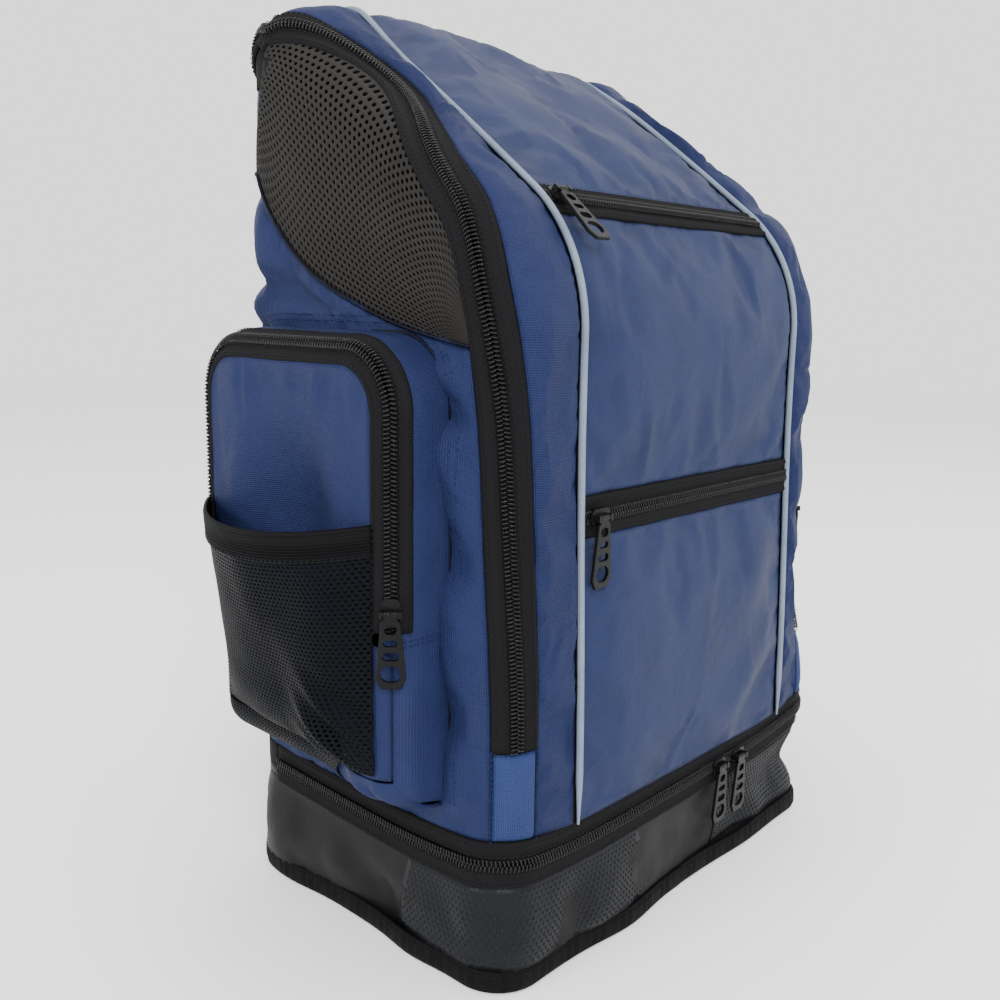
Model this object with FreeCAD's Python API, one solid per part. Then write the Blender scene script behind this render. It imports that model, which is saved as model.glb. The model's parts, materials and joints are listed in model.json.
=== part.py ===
"""Sports backpack with a zipped wet compartment in its base, two zipped front pockets, a clamshell main
opening and a zipped pouch with a bottle pocket on each side.

Units are millimetres. +Z is up, the front faces -Y and the wearer's back is at +Y. The origin lies on the
floor, midway between the side panels. The upper pack is one extruded side outline with rounded edges, and
each fabric panel is a region of its shell.
"""
import FreeCAD, Part

import math
import os

V = FreeCAD.Vector

# Driving dimensions of the bag.
HALF_WIDTH = 158.5          # centre plane to a side panel
FRONT_Y = -104.0
BACK_Y = 112.0
SLOPE_AT = (-70.0, 403.0)   # a point (y, z) on the sloping top face
TOP_CORNER_Z = 532.0        # where the top face would meet the back plane
BEND_RADIUS = 90.0          # front face into top face
TOP_RADIUS = 28.0           # top face into back face
EDGE_RADIUS = 26.0          # side panels into front, top and back
FABRIC = 3.0                # lined and lightly padded fabric
TAPE = 1.0                  # zip tape
UNDER = -40.0               # the outline runs on below the floor, so its lower end is cut square
CUT_FRONT, CUT_BACK, CUT_TOP = -160.0, 200.0, 600.0     # cutting boxes end outside the bag

# Inner pieces.
FOAM_THICK = 4.0            # board behind the back panel
SLEEVE_DEPTH, SLEEVE_TOP_Z = 18.0, 330.0
DIVIDER_THICK = 3.0         # floor between the main and the base compartment
POCKET_DEPTH, LINING_THICK = 12.0, 1.5     # lining behind the two front pockets
BASE_BOARD_MARGIN, BASE_BOARD_THICK = 12.0, 2.5
FOAM_MARGIN, FOAM_FOOT, FOAM_TOP_Z = 8.0, 12.0, 440.0
SLEEVE_MARGIN, SLEEVE_FOOT, SLEEVE_THICK = 20.0, 5.0, 2.0

# Zips.
TAPE_HALF = 12.0            # one tape, centre line to outer edge, on the large zips
SMALL_TAPE_HALF = 10.0      # the same on the two front pockets
GAP = 0.5                   # half of the slit between two tapes
COIL_WIDTH = 3.0            # one row of teeth
COIL_HEIGHT = 2.0
BASE_ZIP_Z = 66.0
BASE_ZIP_END_Y = 84.0       # the base zip stops short of the back corners
TEETH_SHORT = 6.0           # its teeth end this far before its tape
MAIN_ZIP_FOOT_Z = 130.0     # lower ends of the main zip, and the fold line of the front flap
MAIN_ZIP_BACK_Z = 480.0     # the main zip crosses the back at this height
BACK_ZONE_Y = 85.0          # behind this the main zip's line is level instead of following the outline
LOWER_ZIP_Z = 242.0
PIPING_X = 102.0            # the two reflective pipings bound the front pockets
PIPING_RADIUS, PIPING_PROUD = 1.9, 3.0
PIPING_END_Y = 60.0         # it ends under the seam at the top edge
UPPER_ZIP_BEND = 0.90       # share of the bend, from its foot, where the upper pocket zip crosses
FLAP_CORE = 20.0            # the flap's skin is looked for no deeper than this

# Base.
FLOOR_THICK = 3.0
BINDING_HEIGHT = 12.0
BINDING_THICK = 1.5
PATCH_THICK = 0.8
PATCH_FRONT_X = 45.0        # inner edge of a corner patch on the front
PATCH_SIDE_Y = -30.0        # its rear edge on the side

# Mesh window in each side panel: its lower edge falls from the back edge to the zip.
WINDOW_EDGE = [(95.0, 418.0), (78.0, 392.0), (45.0, 364.0), (0.0, 345.0), (-45.0, 333.0), (-120.0, 322.0)]

# Side pouches.
POUCH_FRONT_Y, POUCH_BACK_Y = -66.0, 100.0
POUCH_FOOT_Z, POUCH_TOP_Z = 98.0, 332.0
POUCH_OUT_X = HALF_WIDTH + 38.0
POUCH_TOP_RADIUS, POUCH_FOOT_RADIUS = 36.0, 24.0
POUCH_EDGE = 18.0           # rounded edge that carries the arch zip
POUCH_TAPE_HALF = 10.0
POUCH_HINGE_Z = 116.0       # fold line at the foot of the pouch face
TROUGH_Y, TROUGH_RADIUS, TROUGH_TOP_Z = 18.0, 35.0, 298.0     # hollow in the face behind a bottle
TROUGH_X = POUCH_OUT_X + 2.0
TROUGH_RIM = 4.0            # cloth beside and above the hollow
POCKET_HALF, POCKET_OUT = 72.0, 28.0                    # half width and bulge of the mesh pocket
POCKET_FOOT_Z, POCKET_TOP_Z, ELASTIC_HEIGHT = 118.0, 238.0, 15.0
POCKET_WALL = 2.0
ELASTIC_PROUD = 1.0         # the elastic stands this far out of the mesh
POUCH_SEAM = 1.0            # seam allowance between the side panel and the pouch
TOUCH = 0.02                # sewn pieces stand this far apart
FAR_X = 300.0               # beyond the widest point

# Sliders and pullers.
SLIDER_LENGTH, SLIDER_WIDTH, PLATE = 14.0, 9.0, 1.2
RUN = 0.35                  # running clearance of a slider on its teeth
PIN_HEIGHT = 1.9            # pin above the slider's top plate
PIN_RADIUS, KNUCKLE_RADIUS, KNUCKLE_WIDTH = 0.8, 1.7, 6.6
LUG_THICK, LUG_GAP, LUG_HALF = 1.8, 0.4, 1.7
PULLER_LENGTH, PULLER_WIDTH, PULLER_THICK = 37.0, 14.8, 2.0
PULLER_NECK, PULLER_SHOULDER = 9.3, 3.6     # width below the knuckle, and where that width begins
PULLER_CHAMFER, PULLER_BEVEL = 5.0, 0.35    # cut end corners, and the softened rim
PIN_CLEARANCE = 0.3
# Holes down the puller: distance below the pin, half height, half length across.
PULLER_HOLES = [(7.4, 2.3, 3.0), (14.0, 1.7, 3.5), (20.6, 2.1, 4.1), (29.4, 4.2, 5.0)]
PULLER_LEAN = 2.0           # degrees that a hanging puller leans in towards the fabric
BASE_SLIDER_X = (35.0, 57.0)
POCKET_SLIDER_X = -92.5
MAIN_SLIDER_X = 60.0
POUCH_SLIDER_Z = 203.0

# Harness.
PAD_THICK, PAD_ROUND = 10.0, 5.0
STRAP_LOW_Z = 205.0                 # end of the padded strap
LOCK_DROP = 16.5                    # from there to the middle of the ladder lock
STRAP_THICK = 10.0
STRAP_ROOT = (56.0, 432.0)          # (x, z) of the upper end of each strap
STRAP_FOOT = (117.0, 96.0)          # (x, z) of the lower webbing anchor
STRAP_OUT = 36.0                    # how far the hanging strap stands off the back
WEBBING_THICK, WEBBING_WIDTH = 1.6, 25.0
LOCK_HALF_X, LOCK_HALF_Y, LOCK_HALF_Z = 17.0, 2.2, 13.0
LOCK_SLOT_HALF, LOCK_SLOT_HEIGHT, LOCK_SLOT_FEET = 13.2, 4.0, (-9.5, -2.0, 5.5)
PAD_IN_X, PAD_OUT_X, PAD_FOOT_Z, PAD_TOP_Z, PAD_CORNER = 12.0, 104.0, 150.0, 396.0, 22.0
LUMBAR_HALF, LUMBAR_FOOT_Z, LUMBAR_TOP_Z, LUMBAR_CORNER = 98.0, 92.0, 138.0, 18.0
ROOT_PATCH_HALF, ROOT_PATCH_RISE = 30.0, 7.0            # stitched patch at the strap's root
FOOT_PATCH_HALF, FOOT_PATCH_RISE, PATCH_TAPE = 13.0, 14.0, 3.0
LOOP_Y, LOOP_Z, LOOP_RADIUS, LOOP_SECTION, LOOP_LEG = 119.5, 458.0, 30.0, 4.0, 8.0
LOOP_TAB_HALF, LOOP_TAB_DROP, LOOP_TAB_RISE, LOOP_TAB_THICK = 8.0, 20.0, 4.0, 2.5
ORIGIN_Y = 19.7                     # the overall depth's middle, seen from the side panels' frame


# ---------------------------------------------------------------- helpers

def box(x0, x1, y0, y1, z0, z1):
    return Part.makeBox(x1 - x0, y1 - y0, z1 - z0, V(x0, y0, z0))


def fuse(shapes):
    shapes = list(shapes)
    return shapes[0].fuse(shapes[1:]) if len(shapes) > 1 else shapes[0]


def solids_of(shape):
    """The closed solids of a boolean result, without slivers."""
    return Part.Compound([s for s in shape.Solids if s.Volume > 1.0])


def mirrored(shape):
    return shape.mirror(V(0, 0, 0), V(1, 0, 0))


def corner_offset(corners, inset):
    """Corners (a, b, radius) of a convex outline, listed anticlockwise, moved in by inset."""
    moved = []
    count = len(corners)
    for i, (a, b, radius) in enumerate(corners):
        before, after = corners[i - 1], corners[(i + 1) % count]
        lines = []
        for p, q in ((before, (a, b)), ((a, b), after)):
            da, db = q[0] - p[0], q[1] - p[1]
            length = math.hypot(da, db)
            normal = (-db / length, da / length)
            lines.append((normal, normal[0] * p[0] + normal[1] * p[1] + inset))
        (n1, d1), (n2, d2) = lines
        det = n1[0] * n2[1] - n1[1] * n2[0]
        a, b = (d1 * n2[1] - d2 * n1[1]) / det, (n1[0] * d2 - n2[0] * d1) / det
        moved.append((a, b, max(radius - inset, 0.0)))
    return moved


def rounded_wire(corners, place):
    """A closed wire through corners (a, b, radius); place turns (a, b) into a point in space."""
    count = len(corners)
    starts, ends, middles = [], [], []
    for i, (a, b, radius) in enumerate(corners):
        before, after = corners[i - 1], corners[(i + 1) % count]
        u = V(before[0] - a, before[1] - b, 0).normalize()
        w = V(after[0] - a, after[1] - b, 0).normalize()
        half = u.getAngle(w) / 2
        tangent = radius / math.tan(half)
        corner = V(a, b, 0)
        centre = corner + (u + w).normalize() * (radius / math.sin(half))
        starts.append(corner + u * tangent)
        ends.append(corner + w * tangent)
        middles.append(centre + (corner - centre).normalize() * radius if radius > 0 else corner)
    edges = []
    for i in range(count):
        if corners[i][2] > 0:
            edges.append(Part.Arc(place(starts[i]), place(middles[i]), place(ends[i])).toShape())
        edges.append(Part.LineSegment(place(ends[i]), place(starts[(i + 1) % count])).toShape())
    return Part.Wire(edges)


def prism_x(corners, x0, x1):
    """Outline of (y, z) corners, extruded from x0 to x1."""
    wire = rounded_wire(corners, lambda p: V(x0, p.x, p.y))
    return Part.Face(wire).extrude(V(x1 - x0, 0, 0))


def rounded_plate(corners, y0, y1):
    """Outline of (x, z) corners, extruded from y0 to y1."""
    wire = rounded_wire(corners, lambda p: V(p.x, y0, p.y))
    return Part.Face(wire).extrude(V(0, y1 - y0, 0))


def placed(shape, origin, along, out):
    """Moves a piece drawn with X along its zip, Z out of the fabric, to a place on the bag."""
    side = out.cross(along)
    matrix = FreeCAD.Matrix(along.x, side.x, out.x, origin.x,
                            along.y, side.y, out.y, origin.y,
                            along.z, side.z, out.z, origin.z,
                            0, 0, 0, 1)
    moved = shape.copy()
    moved.transformShape(matrix, True)
    return moved


def export(name, shape):
    found = solids_of(shape)
    assert found.Solids, name
    assert all(s.isValid() for s in found.Solids), name
    found.translate(V(0, -ORIGIN_Y, 0))
    found.exportStep("parts/%s.step" % name)


def export_pair(name, shape):
    """A right-hand piece and its mirror image."""
    export(name + "_right", shape)
    export(name + "_left", mirrored(shape))


# ---------------------------------------------------------------- the bag's outer form

SLOPE = (TOP_CORNER_Z - SLOPE_AT[1]) / (BACK_Y - SLOPE_AT[0])
FRONT_CORNER_Z = SLOPE_AT[1] + SLOPE * (FRONT_Y - SLOPE_AT[0])
OUTLINE = [(FRONT_Y, UNDER, 0.0), (BACK_Y, UNDER, 0.0), (BACK_Y, TOP_CORNER_Z, TOP_RADIUS),
           (FRONT_Y, FRONT_CORNER_Z, BEND_RADIUS)]


def side_outline(inset):
    return corner_offset(OUTLINE, inset)


def body_solid(inset):
    """The whole bag as one solid, every face moved in by inset."""
    half = HALF_WIDTH - inset
    solid = prism_x(side_outline(inset), -half, half)
    floor = min(v.Z for v in solid.Vertexes)
    rims = [e for e in solid.Edges
            if all(abs(abs(v.X) - half) < 1e-6 for v in e.Vertexes)
            and e.BoundBox.XLength < 1e-6
            and e.BoundBox.ZMax > floor + 1]
    return solid.makeFillet(EDGE_RADIUS - inset, rims)


INSETS = (-COIL_HEIGHT, -BINDING_THICK, -PATCH_THICK, 0.0, TAPE, FABRIC)
SOLIDS = {inset: body_solid(inset) for inset in INSETS}


def shell(outer, inner, region):
    """The layer between two insets of the bag, inside a region."""
    return SOLIDS[outer].common(region).cut(SOLIDS[inner])


def zip_zone(inset, back_z):
    """Everything behind the main zip line at this inset, and below back_z on the back."""
    wide = HALF_WIDTH + 20
    rear = box(-wide, wide, BACK_ZONE_Y, CUT_BACK, UNDER, back_z)
    return fuse([prism_x(side_outline(inset), -wide, wide), rear])


# Where the main zip runs on the rounded edge: its centre line is half-way round.
TAPE_ANGLE = TAPE_HALF / EDGE_RADIUS
COIL_ANGLE = COIL_WIDTH / EDGE_RADIUS


def edge_inset(angle):
    return EDGE_RADIUS * (1 - math.cos(angle))


def edge_x(angle):
    return HALF_WIDTH - EDGE_RADIUS + EDGE_RADIUS * math.sin(angle)


HALF_WAY = math.pi / 4
WIDE = HALF_WIDTH + 20
STRIP_X = edge_x(HALF_WAY - TAPE_ANGLE)
ABOVE_FOOT = box(-WIDE, WIDE, CUT_FRONT, CUT_BACK, MAIN_ZIP_FOOT_Z + GAP, CUT_TOP)
BELOW_FOOT = box(-WIDE, WIDE, CUT_FRONT, 0, BASE_ZIP_Z + TAPE_HALF, MAIN_ZIP_FOOT_Z - GAP)
SIDE_ZONE = zip_zone(edge_inset(HALF_WAY + TAPE_ANGLE), MAIN_ZIP_BACK_Z - TAPE_HALF)


# ---------------------------------------------------------------- base

def base_parts():
    rear = box(-WIDE, WIDE, BASE_ZIP_END_Y, CUT_BACK, FLOOR_THICK, BASE_ZIP_Z - GAP)
    front = box(-WIDE, WIDE, CUT_FRONT, BASE_ZIP_END_Y, FLOOR_THICK, BASE_ZIP_Z - TAPE_HALF)
    export("base_wall", shell(0.0, FABRIC, fuse([rear, front])))
    export("base_floor", SOLIDS[0.0].common(box(-WIDE, WIDE, CUT_FRONT, CUT_BACK, 0, FLOOR_THICK)))
    margin = BASE_BOARD_MARGIN
    board = box(-HALF_WIDTH + margin, HALF_WIDTH - margin, FRONT_Y + margin, BACK_Y - margin,
                FLOOR_THICK, FLOOR_THICK + BASE_BOARD_THICK)
    export("base_board", SOLIDS[FABRIC].common(board))
    low = box(-WIDE, WIDE, CUT_FRONT, CUT_BACK, 0, BINDING_HEIGHT)
    export("base_binding", shell(-BINDING_THICK, 0.0, low))
    patches = []
    for x0, x1 in ((-WIDE, -PATCH_FRONT_X), (PATCH_FRONT_X, WIDE)):
        zone = box(x0, x1, CUT_FRONT, PATCH_SIDE_Y, BINDING_HEIGHT, BASE_ZIP_Z - TAPE_HALF - GAP)
        patches.append(shell(-PATCH_THICK, 0.0, zone))
    export("base_corner_patches", fuse(patches))


def base_zip_half(sign, name):
    """One half of the zip round the base: a tape and its row of teeth."""
    near, far = BASE_ZIP_Z + sign * GAP, BASE_ZIP_Z + sign * TAPE_HALF
    teeth = BASE_ZIP_Z + sign * (GAP + COIL_WIDTH)
    tape = box(-WIDE, WIDE, CUT_FRONT, BASE_ZIP_END_Y, min(near, far), max(near, far))
    coil = box(-WIDE, WIDE, CUT_FRONT, BASE_ZIP_END_Y - TEETH_SHORT, min(near, teeth), max(near, teeth))
    export(name, Part.Compound(shell(0.0, TAPE, tape).Solids + shell(-COIL_HEIGHT, 0.0, coil).Solids))


# ---------------------------------------------------------------- upper pack

def window_tool():
    """Prism over the mesh window in the right side panel: all above its lower edge."""
    points = [V(0, y, z) for y, z in WINDOW_EDGE]
    curve = Part.BSplineCurve()
    curve.interpolate(points)
    first, last = points[0], points[-1]
    start = V(0, CUT_BACK, first.z + (CUT_BACK - first.y))
    above_last, above_start = V(0, last.y, CUT_TOP), V(0, CUT_BACK, CUT_TOP)
    edges = [Part.LineSegment(start, first).toShape(),
             curve.toShape(),
             Part.LineSegment(last, above_last).toShape(),
             Part.LineSegment(above_last, above_start).toShape(),
             Part.LineSegment(above_start, start).toShape()]
    face = Part.Face(Part.Wire(edges))
    face.translate(V(HALF_WIDTH - EDGE_RADIUS, 0, 0))
    return face.extrude(V(2 * EDGE_RADIUS, 0, 0))


def pack_parts():
    edge = HALF_WIDTH - EDGE_RADIUS
    above_tape = box(edge, WIDE, CUT_FRONT, BASE_ZIP_END_Y, BASE_ZIP_Z + TAPE_HALF, CUT_TOP)
    rear_strip = box(edge, WIDE, BASE_ZIP_END_Y, CUT_BACK, BASE_ZIP_Z + GAP, CUT_TOP)
    side = shell(0.0, FABRIC, fuse([above_tape, rear_strip])).common(SIDE_ZONE)
    window = window_tool()
    export_pair("side_panel", side.cut(window))
    export_pair("side_mesh", side.common(window))
    back = box(-edge, edge, BACK_ZONE_Y, CUT_BACK, BASE_ZIP_Z + GAP, MAIN_ZIP_BACK_Z - TAPE_HALF)
    export("back_panel", shell(0.0, FABRIC, back))
    foam_half = edge - FOAM_MARGIN
    foam_y = BACK_Y - FABRIC - FOAM_THICK
    foam = box(-foam_half, foam_half, foam_y, BACK_Y - FABRIC, BASE_ZIP_Z + FOAM_FOOT, FOAM_TOP_Z)
    export("back_foam_board", foam)
    sleeve_half = edge - SLEEVE_MARGIN
    sleeve_y = foam_y - SLEEVE_DEPTH
    export("inner_sleeve", box(-sleeve_half, sleeve_half, sleeve_y - SLEEVE_THICK, sleeve_y,
                               BASE_ZIP_Z + SLEEVE_FOOT, SLEEVE_TOP_Z))
    layer = box(-WIDE, WIDE, CUT_FRONT, CUT_BACK, BASE_ZIP_Z + GAP, BASE_ZIP_Z + GAP + DIVIDER_THICK)
    export("divider_floor", SOLIDS[FABRIC].common(layer))
    export("lower_front_wall", shell(0.0, FABRIC, BELOW_FOOT).cut(SIDE_ZONE))


def main_zip_half(name, sign):
    """One half of the main zip, up both rounded edges and across the back; sign +1 is the flap's half."""
    def line(width, angle):
        return zip_zone(edge_inset(HALF_WAY - sign * angle), MAIN_ZIP_BACK_Z + sign * width)
    slit = line(GAP, GAP / EDGE_RADIUS)
    pieces = []
    for outer, inner, width, angle in ((0.0, TAPE, TAPE_HALF, TAPE_ANGLE),
                                       (-COIL_HEIGHT, 0.0, GAP + COIL_WIDTH, COIL_ANGLE)):
        far = line(width, angle)
        band = far.cut(slit) if sign > 0 else slit.cut(far)
        pieces += shell(outer, inner, band.common(ABOVE_FOOT)).Solids
    half = Part.Compound(pieces)
    export(name, half)
    return half


# ---------------------------------------------------------------- front flap

def bend_frame(share):
    """Point and outward normal on the bend of the front face, at a share of the way round it."""
    start = corner_tangent()
    slope_angle = math.atan(SLOPE)
    turn = share * (math.pi / 2 - slope_angle)
    y = FRONT_Y + BEND_RADIUS - BEND_RADIUS * math.cos(turn)
    z = start + BEND_RADIUS * math.sin(turn)
    return V(0, y, z), V(0, -math.cos(turn), math.sin(turn))


def corner_tangent():
    """Height at which the flat front face ends and the bend begins."""
    half = (math.pi / 2 + math.atan(SLOPE)) / 2
    return FRONT_CORNER_Z - BEND_RADIUS / math.tan(half)


def zip_slab(point, normal, low, high):
    """Slab across the pockets, between two distances up the fabric from a zip's centre line."""
    up = V(1, 0, 0).cross(normal) * -1
    if up.z < 0:
        up = up * -1
    block = Part.makeBox(2 * PIPING_X, high - low, 60, V(-PIPING_X, low, -40))
    matrix = FreeCAD.Matrix(1, up.x, normal.x, point.x,
                            0, up.y, normal.y, point.y,
                            0, up.z, normal.z, point.z,
                            0, 0, 0, 1)
    block.transformShape(matrix, True)
    return block


def pocket_zip(point, normal):
    pieces = []
    for sign in (-1, 1):
        tape = sorted((sign * GAP, sign * SMALL_TAPE_HALF))
        coil = sorted((sign * GAP, sign * (GAP + COIL_WIDTH)))
        pieces += shell(0.0, TAPE, zip_slab(point, normal, tape[0], tape[1])).Solids
        pieces += shell(-COIL_HEIGHT, 0.0, zip_slab(point, normal, coil[0], coil[1])).Solids
    return Part.Compound(pieces)


def piping(x, low, high):
    """Round cord laid on the front and top faces at x, between two heights."""
    ring = prism_x(side_outline(-PIPING_PROUD), x - PIPING_RADIUS, x + PIPING_RADIUS)
    ring = ring.cut(prism_x(side_outline(0.0), -WIDE, WIDE))
    return ring.common(box(-WIDE, WIDE, CUT_FRONT, PIPING_END_Y, low, high))


def flap_parts(zip_half):
    core = zip_zone(FLAP_CORE, MAIN_ZIP_BACK_Z + TAPE_HALF)
    rim = zip_zone(edge_inset(HALF_WAY - TAPE_ANGLE), MAIN_ZIP_BACK_Z + TAPE_HALF)
    middle = box(-STRIP_X, STRIP_X, CUT_FRONT, CUT_BACK, MAIN_ZIP_FOOT_Z + GAP, CUT_TOP).cut(core)
    outside = ABOVE_FOOT.cut(rim)
    skin = shell(0.0, FABRIC, fuse([middle, outside])).cut(zip_half)
    panel = box(-PIPING_X, PIPING_X, CUT_FRONT, CUT_BACK, UNDER, CUT_TOP)
    export("flap_corner_strips", skin.cut(panel))
    inner = skin.common(panel)
    lower, out = V(0, FRONT_Y, LOWER_ZIP_Z), V(0, -1, 0)
    upper, tilt = bend_frame(UPPER_ZIP_BEND)
    far = 900.0
    above_lower = zip_slab(lower, out, SMALL_TAPE_HALF, far)
    above_upper = zip_slab(upper, tilt, SMALL_TAPE_HALF, far)
    above_upper = fuse([above_upper, box(-PIPING_X, PIPING_X, upper.y + 25, CUT_BACK, UNDER, CUT_TOP)])
    below_upper = zip_slab(upper, tilt, -far, -SMALL_TAPE_HALF)
    front_side = box(-PIPING_X, PIPING_X, CUT_FRONT, upper.y + 10, UNDER, CUT_TOP)
    export("lower_pocket_panel", inner.common(zip_slab(lower, out, -far, -SMALL_TAPE_HALF)))
    export("upper_pocket_panel", inner.common(front_side).common(above_lower).common(below_upper))
    export("top_panel", inner.common(above_upper))
    zips = pocket_zip(lower, out).Solids + pocket_zip(upper, tilt).Solids
    export("front_pocket_zips", Part.Compound(zips))
    lining_zone = box(-PIPING_X, PIPING_X, CUT_FRONT, upper.y + 8, MAIN_ZIP_FOOT_Z + 6, upper.z + 8)
    lining = prism_x(side_outline(POCKET_DEPTH), -PIPING_X, PIPING_X)
    lining = lining.cut(prism_x(side_outline(POCKET_DEPTH + LINING_THICK), -PIPING_X, PIPING_X))
    export("pocket_lining", lining.common(lining_zone))
    piping_x = PIPING_X + PIPING_RADIUS
    upper_piping = [piping(s * piping_x, MAIN_ZIP_FOOT_Z + 5, CUT_TOP) for s in (-1, 1)]
    export("flap_piping", Part.Compound([s for p in upper_piping for s in p.Solids]))
    lower_piping = [piping(s * piping_x, BASE_ZIP_Z + TAPE_HALF, MAIN_ZIP_FOOT_Z - 2) for s in (-1, 1)]
    export("lower_piping", Part.Compound([s for p in lower_piping for s in p.Solids]))


# ---------------------------------------------------------------- side pouches

POUCH_CORNERS = [(POUCH_FRONT_Y, POUCH_FOOT_Z, POUCH_FOOT_RADIUS),
                 (POUCH_BACK_Y, POUCH_FOOT_Z, POUCH_FOOT_RADIUS),
                 (POUCH_BACK_Y, POUCH_TOP_Z, POUCH_TOP_RADIUS),
                 (POUCH_FRONT_Y, POUCH_TOP_Z, POUCH_TOP_RADIUS)]


def pouch_form(inset):
    """The right pouch as a solid with a rounded outer rim, every face but the inner one moved in."""
    out = POUCH_OUT_X - inset
    solid = prism_x(corner_offset(POUCH_CORNERS, inset), HALF_WIDTH + POUCH_SEAM, out)
    rim = [e for e in solid.Edges if all(abs(v.X - out) < 1e-6 for v in e.Vertexes)]
    solid = solid.makeFillet(POUCH_EDGE - inset, rim)
    radius = TROUGH_RADIUS + inset
    hollow = Part.makeCylinder(radius, TROUGH_TOP_Z - POCKET_FOOT_Z - POCKET_WALL + 2 * inset,
                               V(TROUGH_X, TROUGH_Y, POCKET_FOOT_Z + POCKET_WALL - inset))
    return solid.cut(hollow)


def pouch_zone(angle):
    inset = POUCH_EDGE * (1 - math.cos(angle))
    return prism_x(corner_offset(POUCH_CORNERS, inset), HALF_WIDTH, POUCH_OUT_X + 20)


def pouch_parts():
    outer, under_tape, inner, raised = (pouch_form(i) for i in (0.0, TAPE, FABRIC, -COIL_HEIGHT))
    wall = outer.cut(inner)
    above = box(0, FAR_X, CUT_FRONT, CUT_BACK, POUCH_HINGE_Z + GAP, CUT_TOP)
    below = box(0, FAR_X, CUT_FRONT, CUT_BACK, 0, POUCH_HINGE_Z - GAP)
    tape_angle = POUCH_TAPE_HALF / POUCH_EDGE
    coil_angle = (GAP + COIL_WIDTH) / POUCH_EDGE
    slit_angle = GAP / POUCH_EDGE
    gusset = fuse([wall.common(above).cut(pouch_zone(HALF_WAY - tape_angle)), wall.common(below)])
    seam = prism_x(POUCH_CORNERS, HALF_WIDTH + TOUCH, HALF_WIDTH + POUCH_SEAM)
    seam = seam.cut(prism_x(corner_offset(POUCH_CORNERS, FABRIC), HALF_WIDTH, HALF_WIDTH + POUCH_SEAM))
    export_pair("pouch_gusset", fuse([gusset, seam]))
    face_zone = pouch_zone(HALF_WAY + tape_angle)
    middle = box(POUCH_OUT_X - POUCH_EDGE, FAR_X, CUT_FRONT, CUT_BACK, 0, CUT_TOP)
    trough_half = TROUGH_RADIUS + TROUGH_RIM
    trough = box(HALF_WIDTH, FAR_X, TROUGH_Y - trough_half, TROUGH_Y + trough_half, 0,
                 TROUGH_TOP_Z + TROUGH_RIM)
    export_pair("pouch_face", wall.common(above).common(face_zone).common(fuse([middle, trough])))
    rear, front = [], []
    for top, bottom, reach_angle in ((outer, under_tape, tape_angle), (raised, outer, coil_angle)):
        layer = top.cut(bottom).common(above).cut(trough)
        low, slit_low = pouch_zone(HALF_WAY - reach_angle), pouch_zone(HALF_WAY - slit_angle)
        slit_high, high = pouch_zone(HALF_WAY + slit_angle), pouch_zone(HALF_WAY + reach_angle)
        rear += layer.common(low).cut(slit_low).Solids
        front += layer.common(slit_high).cut(high).Solids
    both = rear + [mirrored(s) for s in rear]
    export("pouch_zip_gusset_halves", Part.Compound(both))
    export_pair("pouch_zip_face_half", Part.Compound(front))


def bottle_pocket():
    """Mesh pocket bulging from the pouch face, closed at its foot and open at the top, with its elastic."""
    def bulge(inset, low):
        start = V(POUCH_OUT_X, TROUGH_Y - POCKET_HALF + inset, low)
        middle = V(POUCH_OUT_X + POCKET_OUT - inset, TROUGH_Y, low)
        end = V(POUCH_OUT_X, TROUGH_Y + POCKET_HALF - inset, low)
        wire = Part.Wire([Part.Arc(start, middle, end).toShape(), Part.LineSegment(end, start).toShape()])
        return Part.Face(wire).extrude(V(0, 0, POCKET_TOP_Z - low))
    mesh = bulge(0, POCKET_FOOT_Z).cut(bulge(POCKET_WALL, POCKET_FOOT_Z + POCKET_WALL))
    band_foot = POCKET_TOP_Z - ELASTIC_HEIGHT
    band = bulge(-ELASTIC_PROUD, band_foot).cut(bulge(0, band_foot - 1))
    clear = box(POUCH_OUT_X + TOUCH, FAR_X, CUT_FRONT, CUT_BACK, 0, CUT_TOP)
    export_pair("bottle_pocket", fuse([mesh, band]).common(clear))


# ---------------------------------------------------------------- sliders and pullers

def slider(flanges):
    """Slider with X along the zip and Z out, with a flange beside the teeth on each side in flanges."""
    base = COIL_HEIGHT + RUN
    top = Part.makeBox(SLIDER_LENGTH, SLIDER_WIDTH, PLATE, V(-SLIDER_LENGTH / 2, -SLIDER_WIDTH / 2, base))
    corners = [e for e in top.Edges if e.BoundBox.ZLength > PLATE / 2]
    top = top.makeFillet(3.0, corners)
    pieces = [top]
    for sign in flanges:
        inner_y = GAP + COIL_WIDTH + RUN
        y0, y1 = sorted((sign * inner_y, sign * SLIDER_WIDTH / 2))
        pieces.append(box(-4, 4, y0, y1, RUN, base))
    return pieces, base + PLATE


def slider_set(flanges, pin_along):
    """Slider body and puller; pin_along is the pin's direction, 'x' along the zip or 'y' across it."""
    pieces, top = slider(flanges)
    pin_z = top + PIN_HEIGHT
    offset = KNUCKLE_WIDTH / 2 + LUG_GAP
    lugs = []
    for sign in (-1, 1):
        x0, x1 = sorted((sign * offset, sign * (offset + LUG_THICK)))
        lugs.append(box(x0, x1, -LUG_HALF, LUG_HALF, top, pin_z + LUG_HALF))
    pin = Part.makeCylinder(PIN_RADIUS, 2 * offset, V(-offset, 0, pin_z), V(1, 0, 0))
    fitting = fuse(lugs + [pin])
    pull = puller()
    pull.translate(V(0, 0, pin_z))
    pull.rotate(V(0, 0, pin_z), V(1, 0, 0), PULLER_LEAN)
    if pin_along == "y":
        for item in (fitting, pull):
            item.rotate(V(0, 0, 0), V(0, 0, 1), -90)
    return fuse(pieces + [fitting]), pull, pin_z


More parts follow.
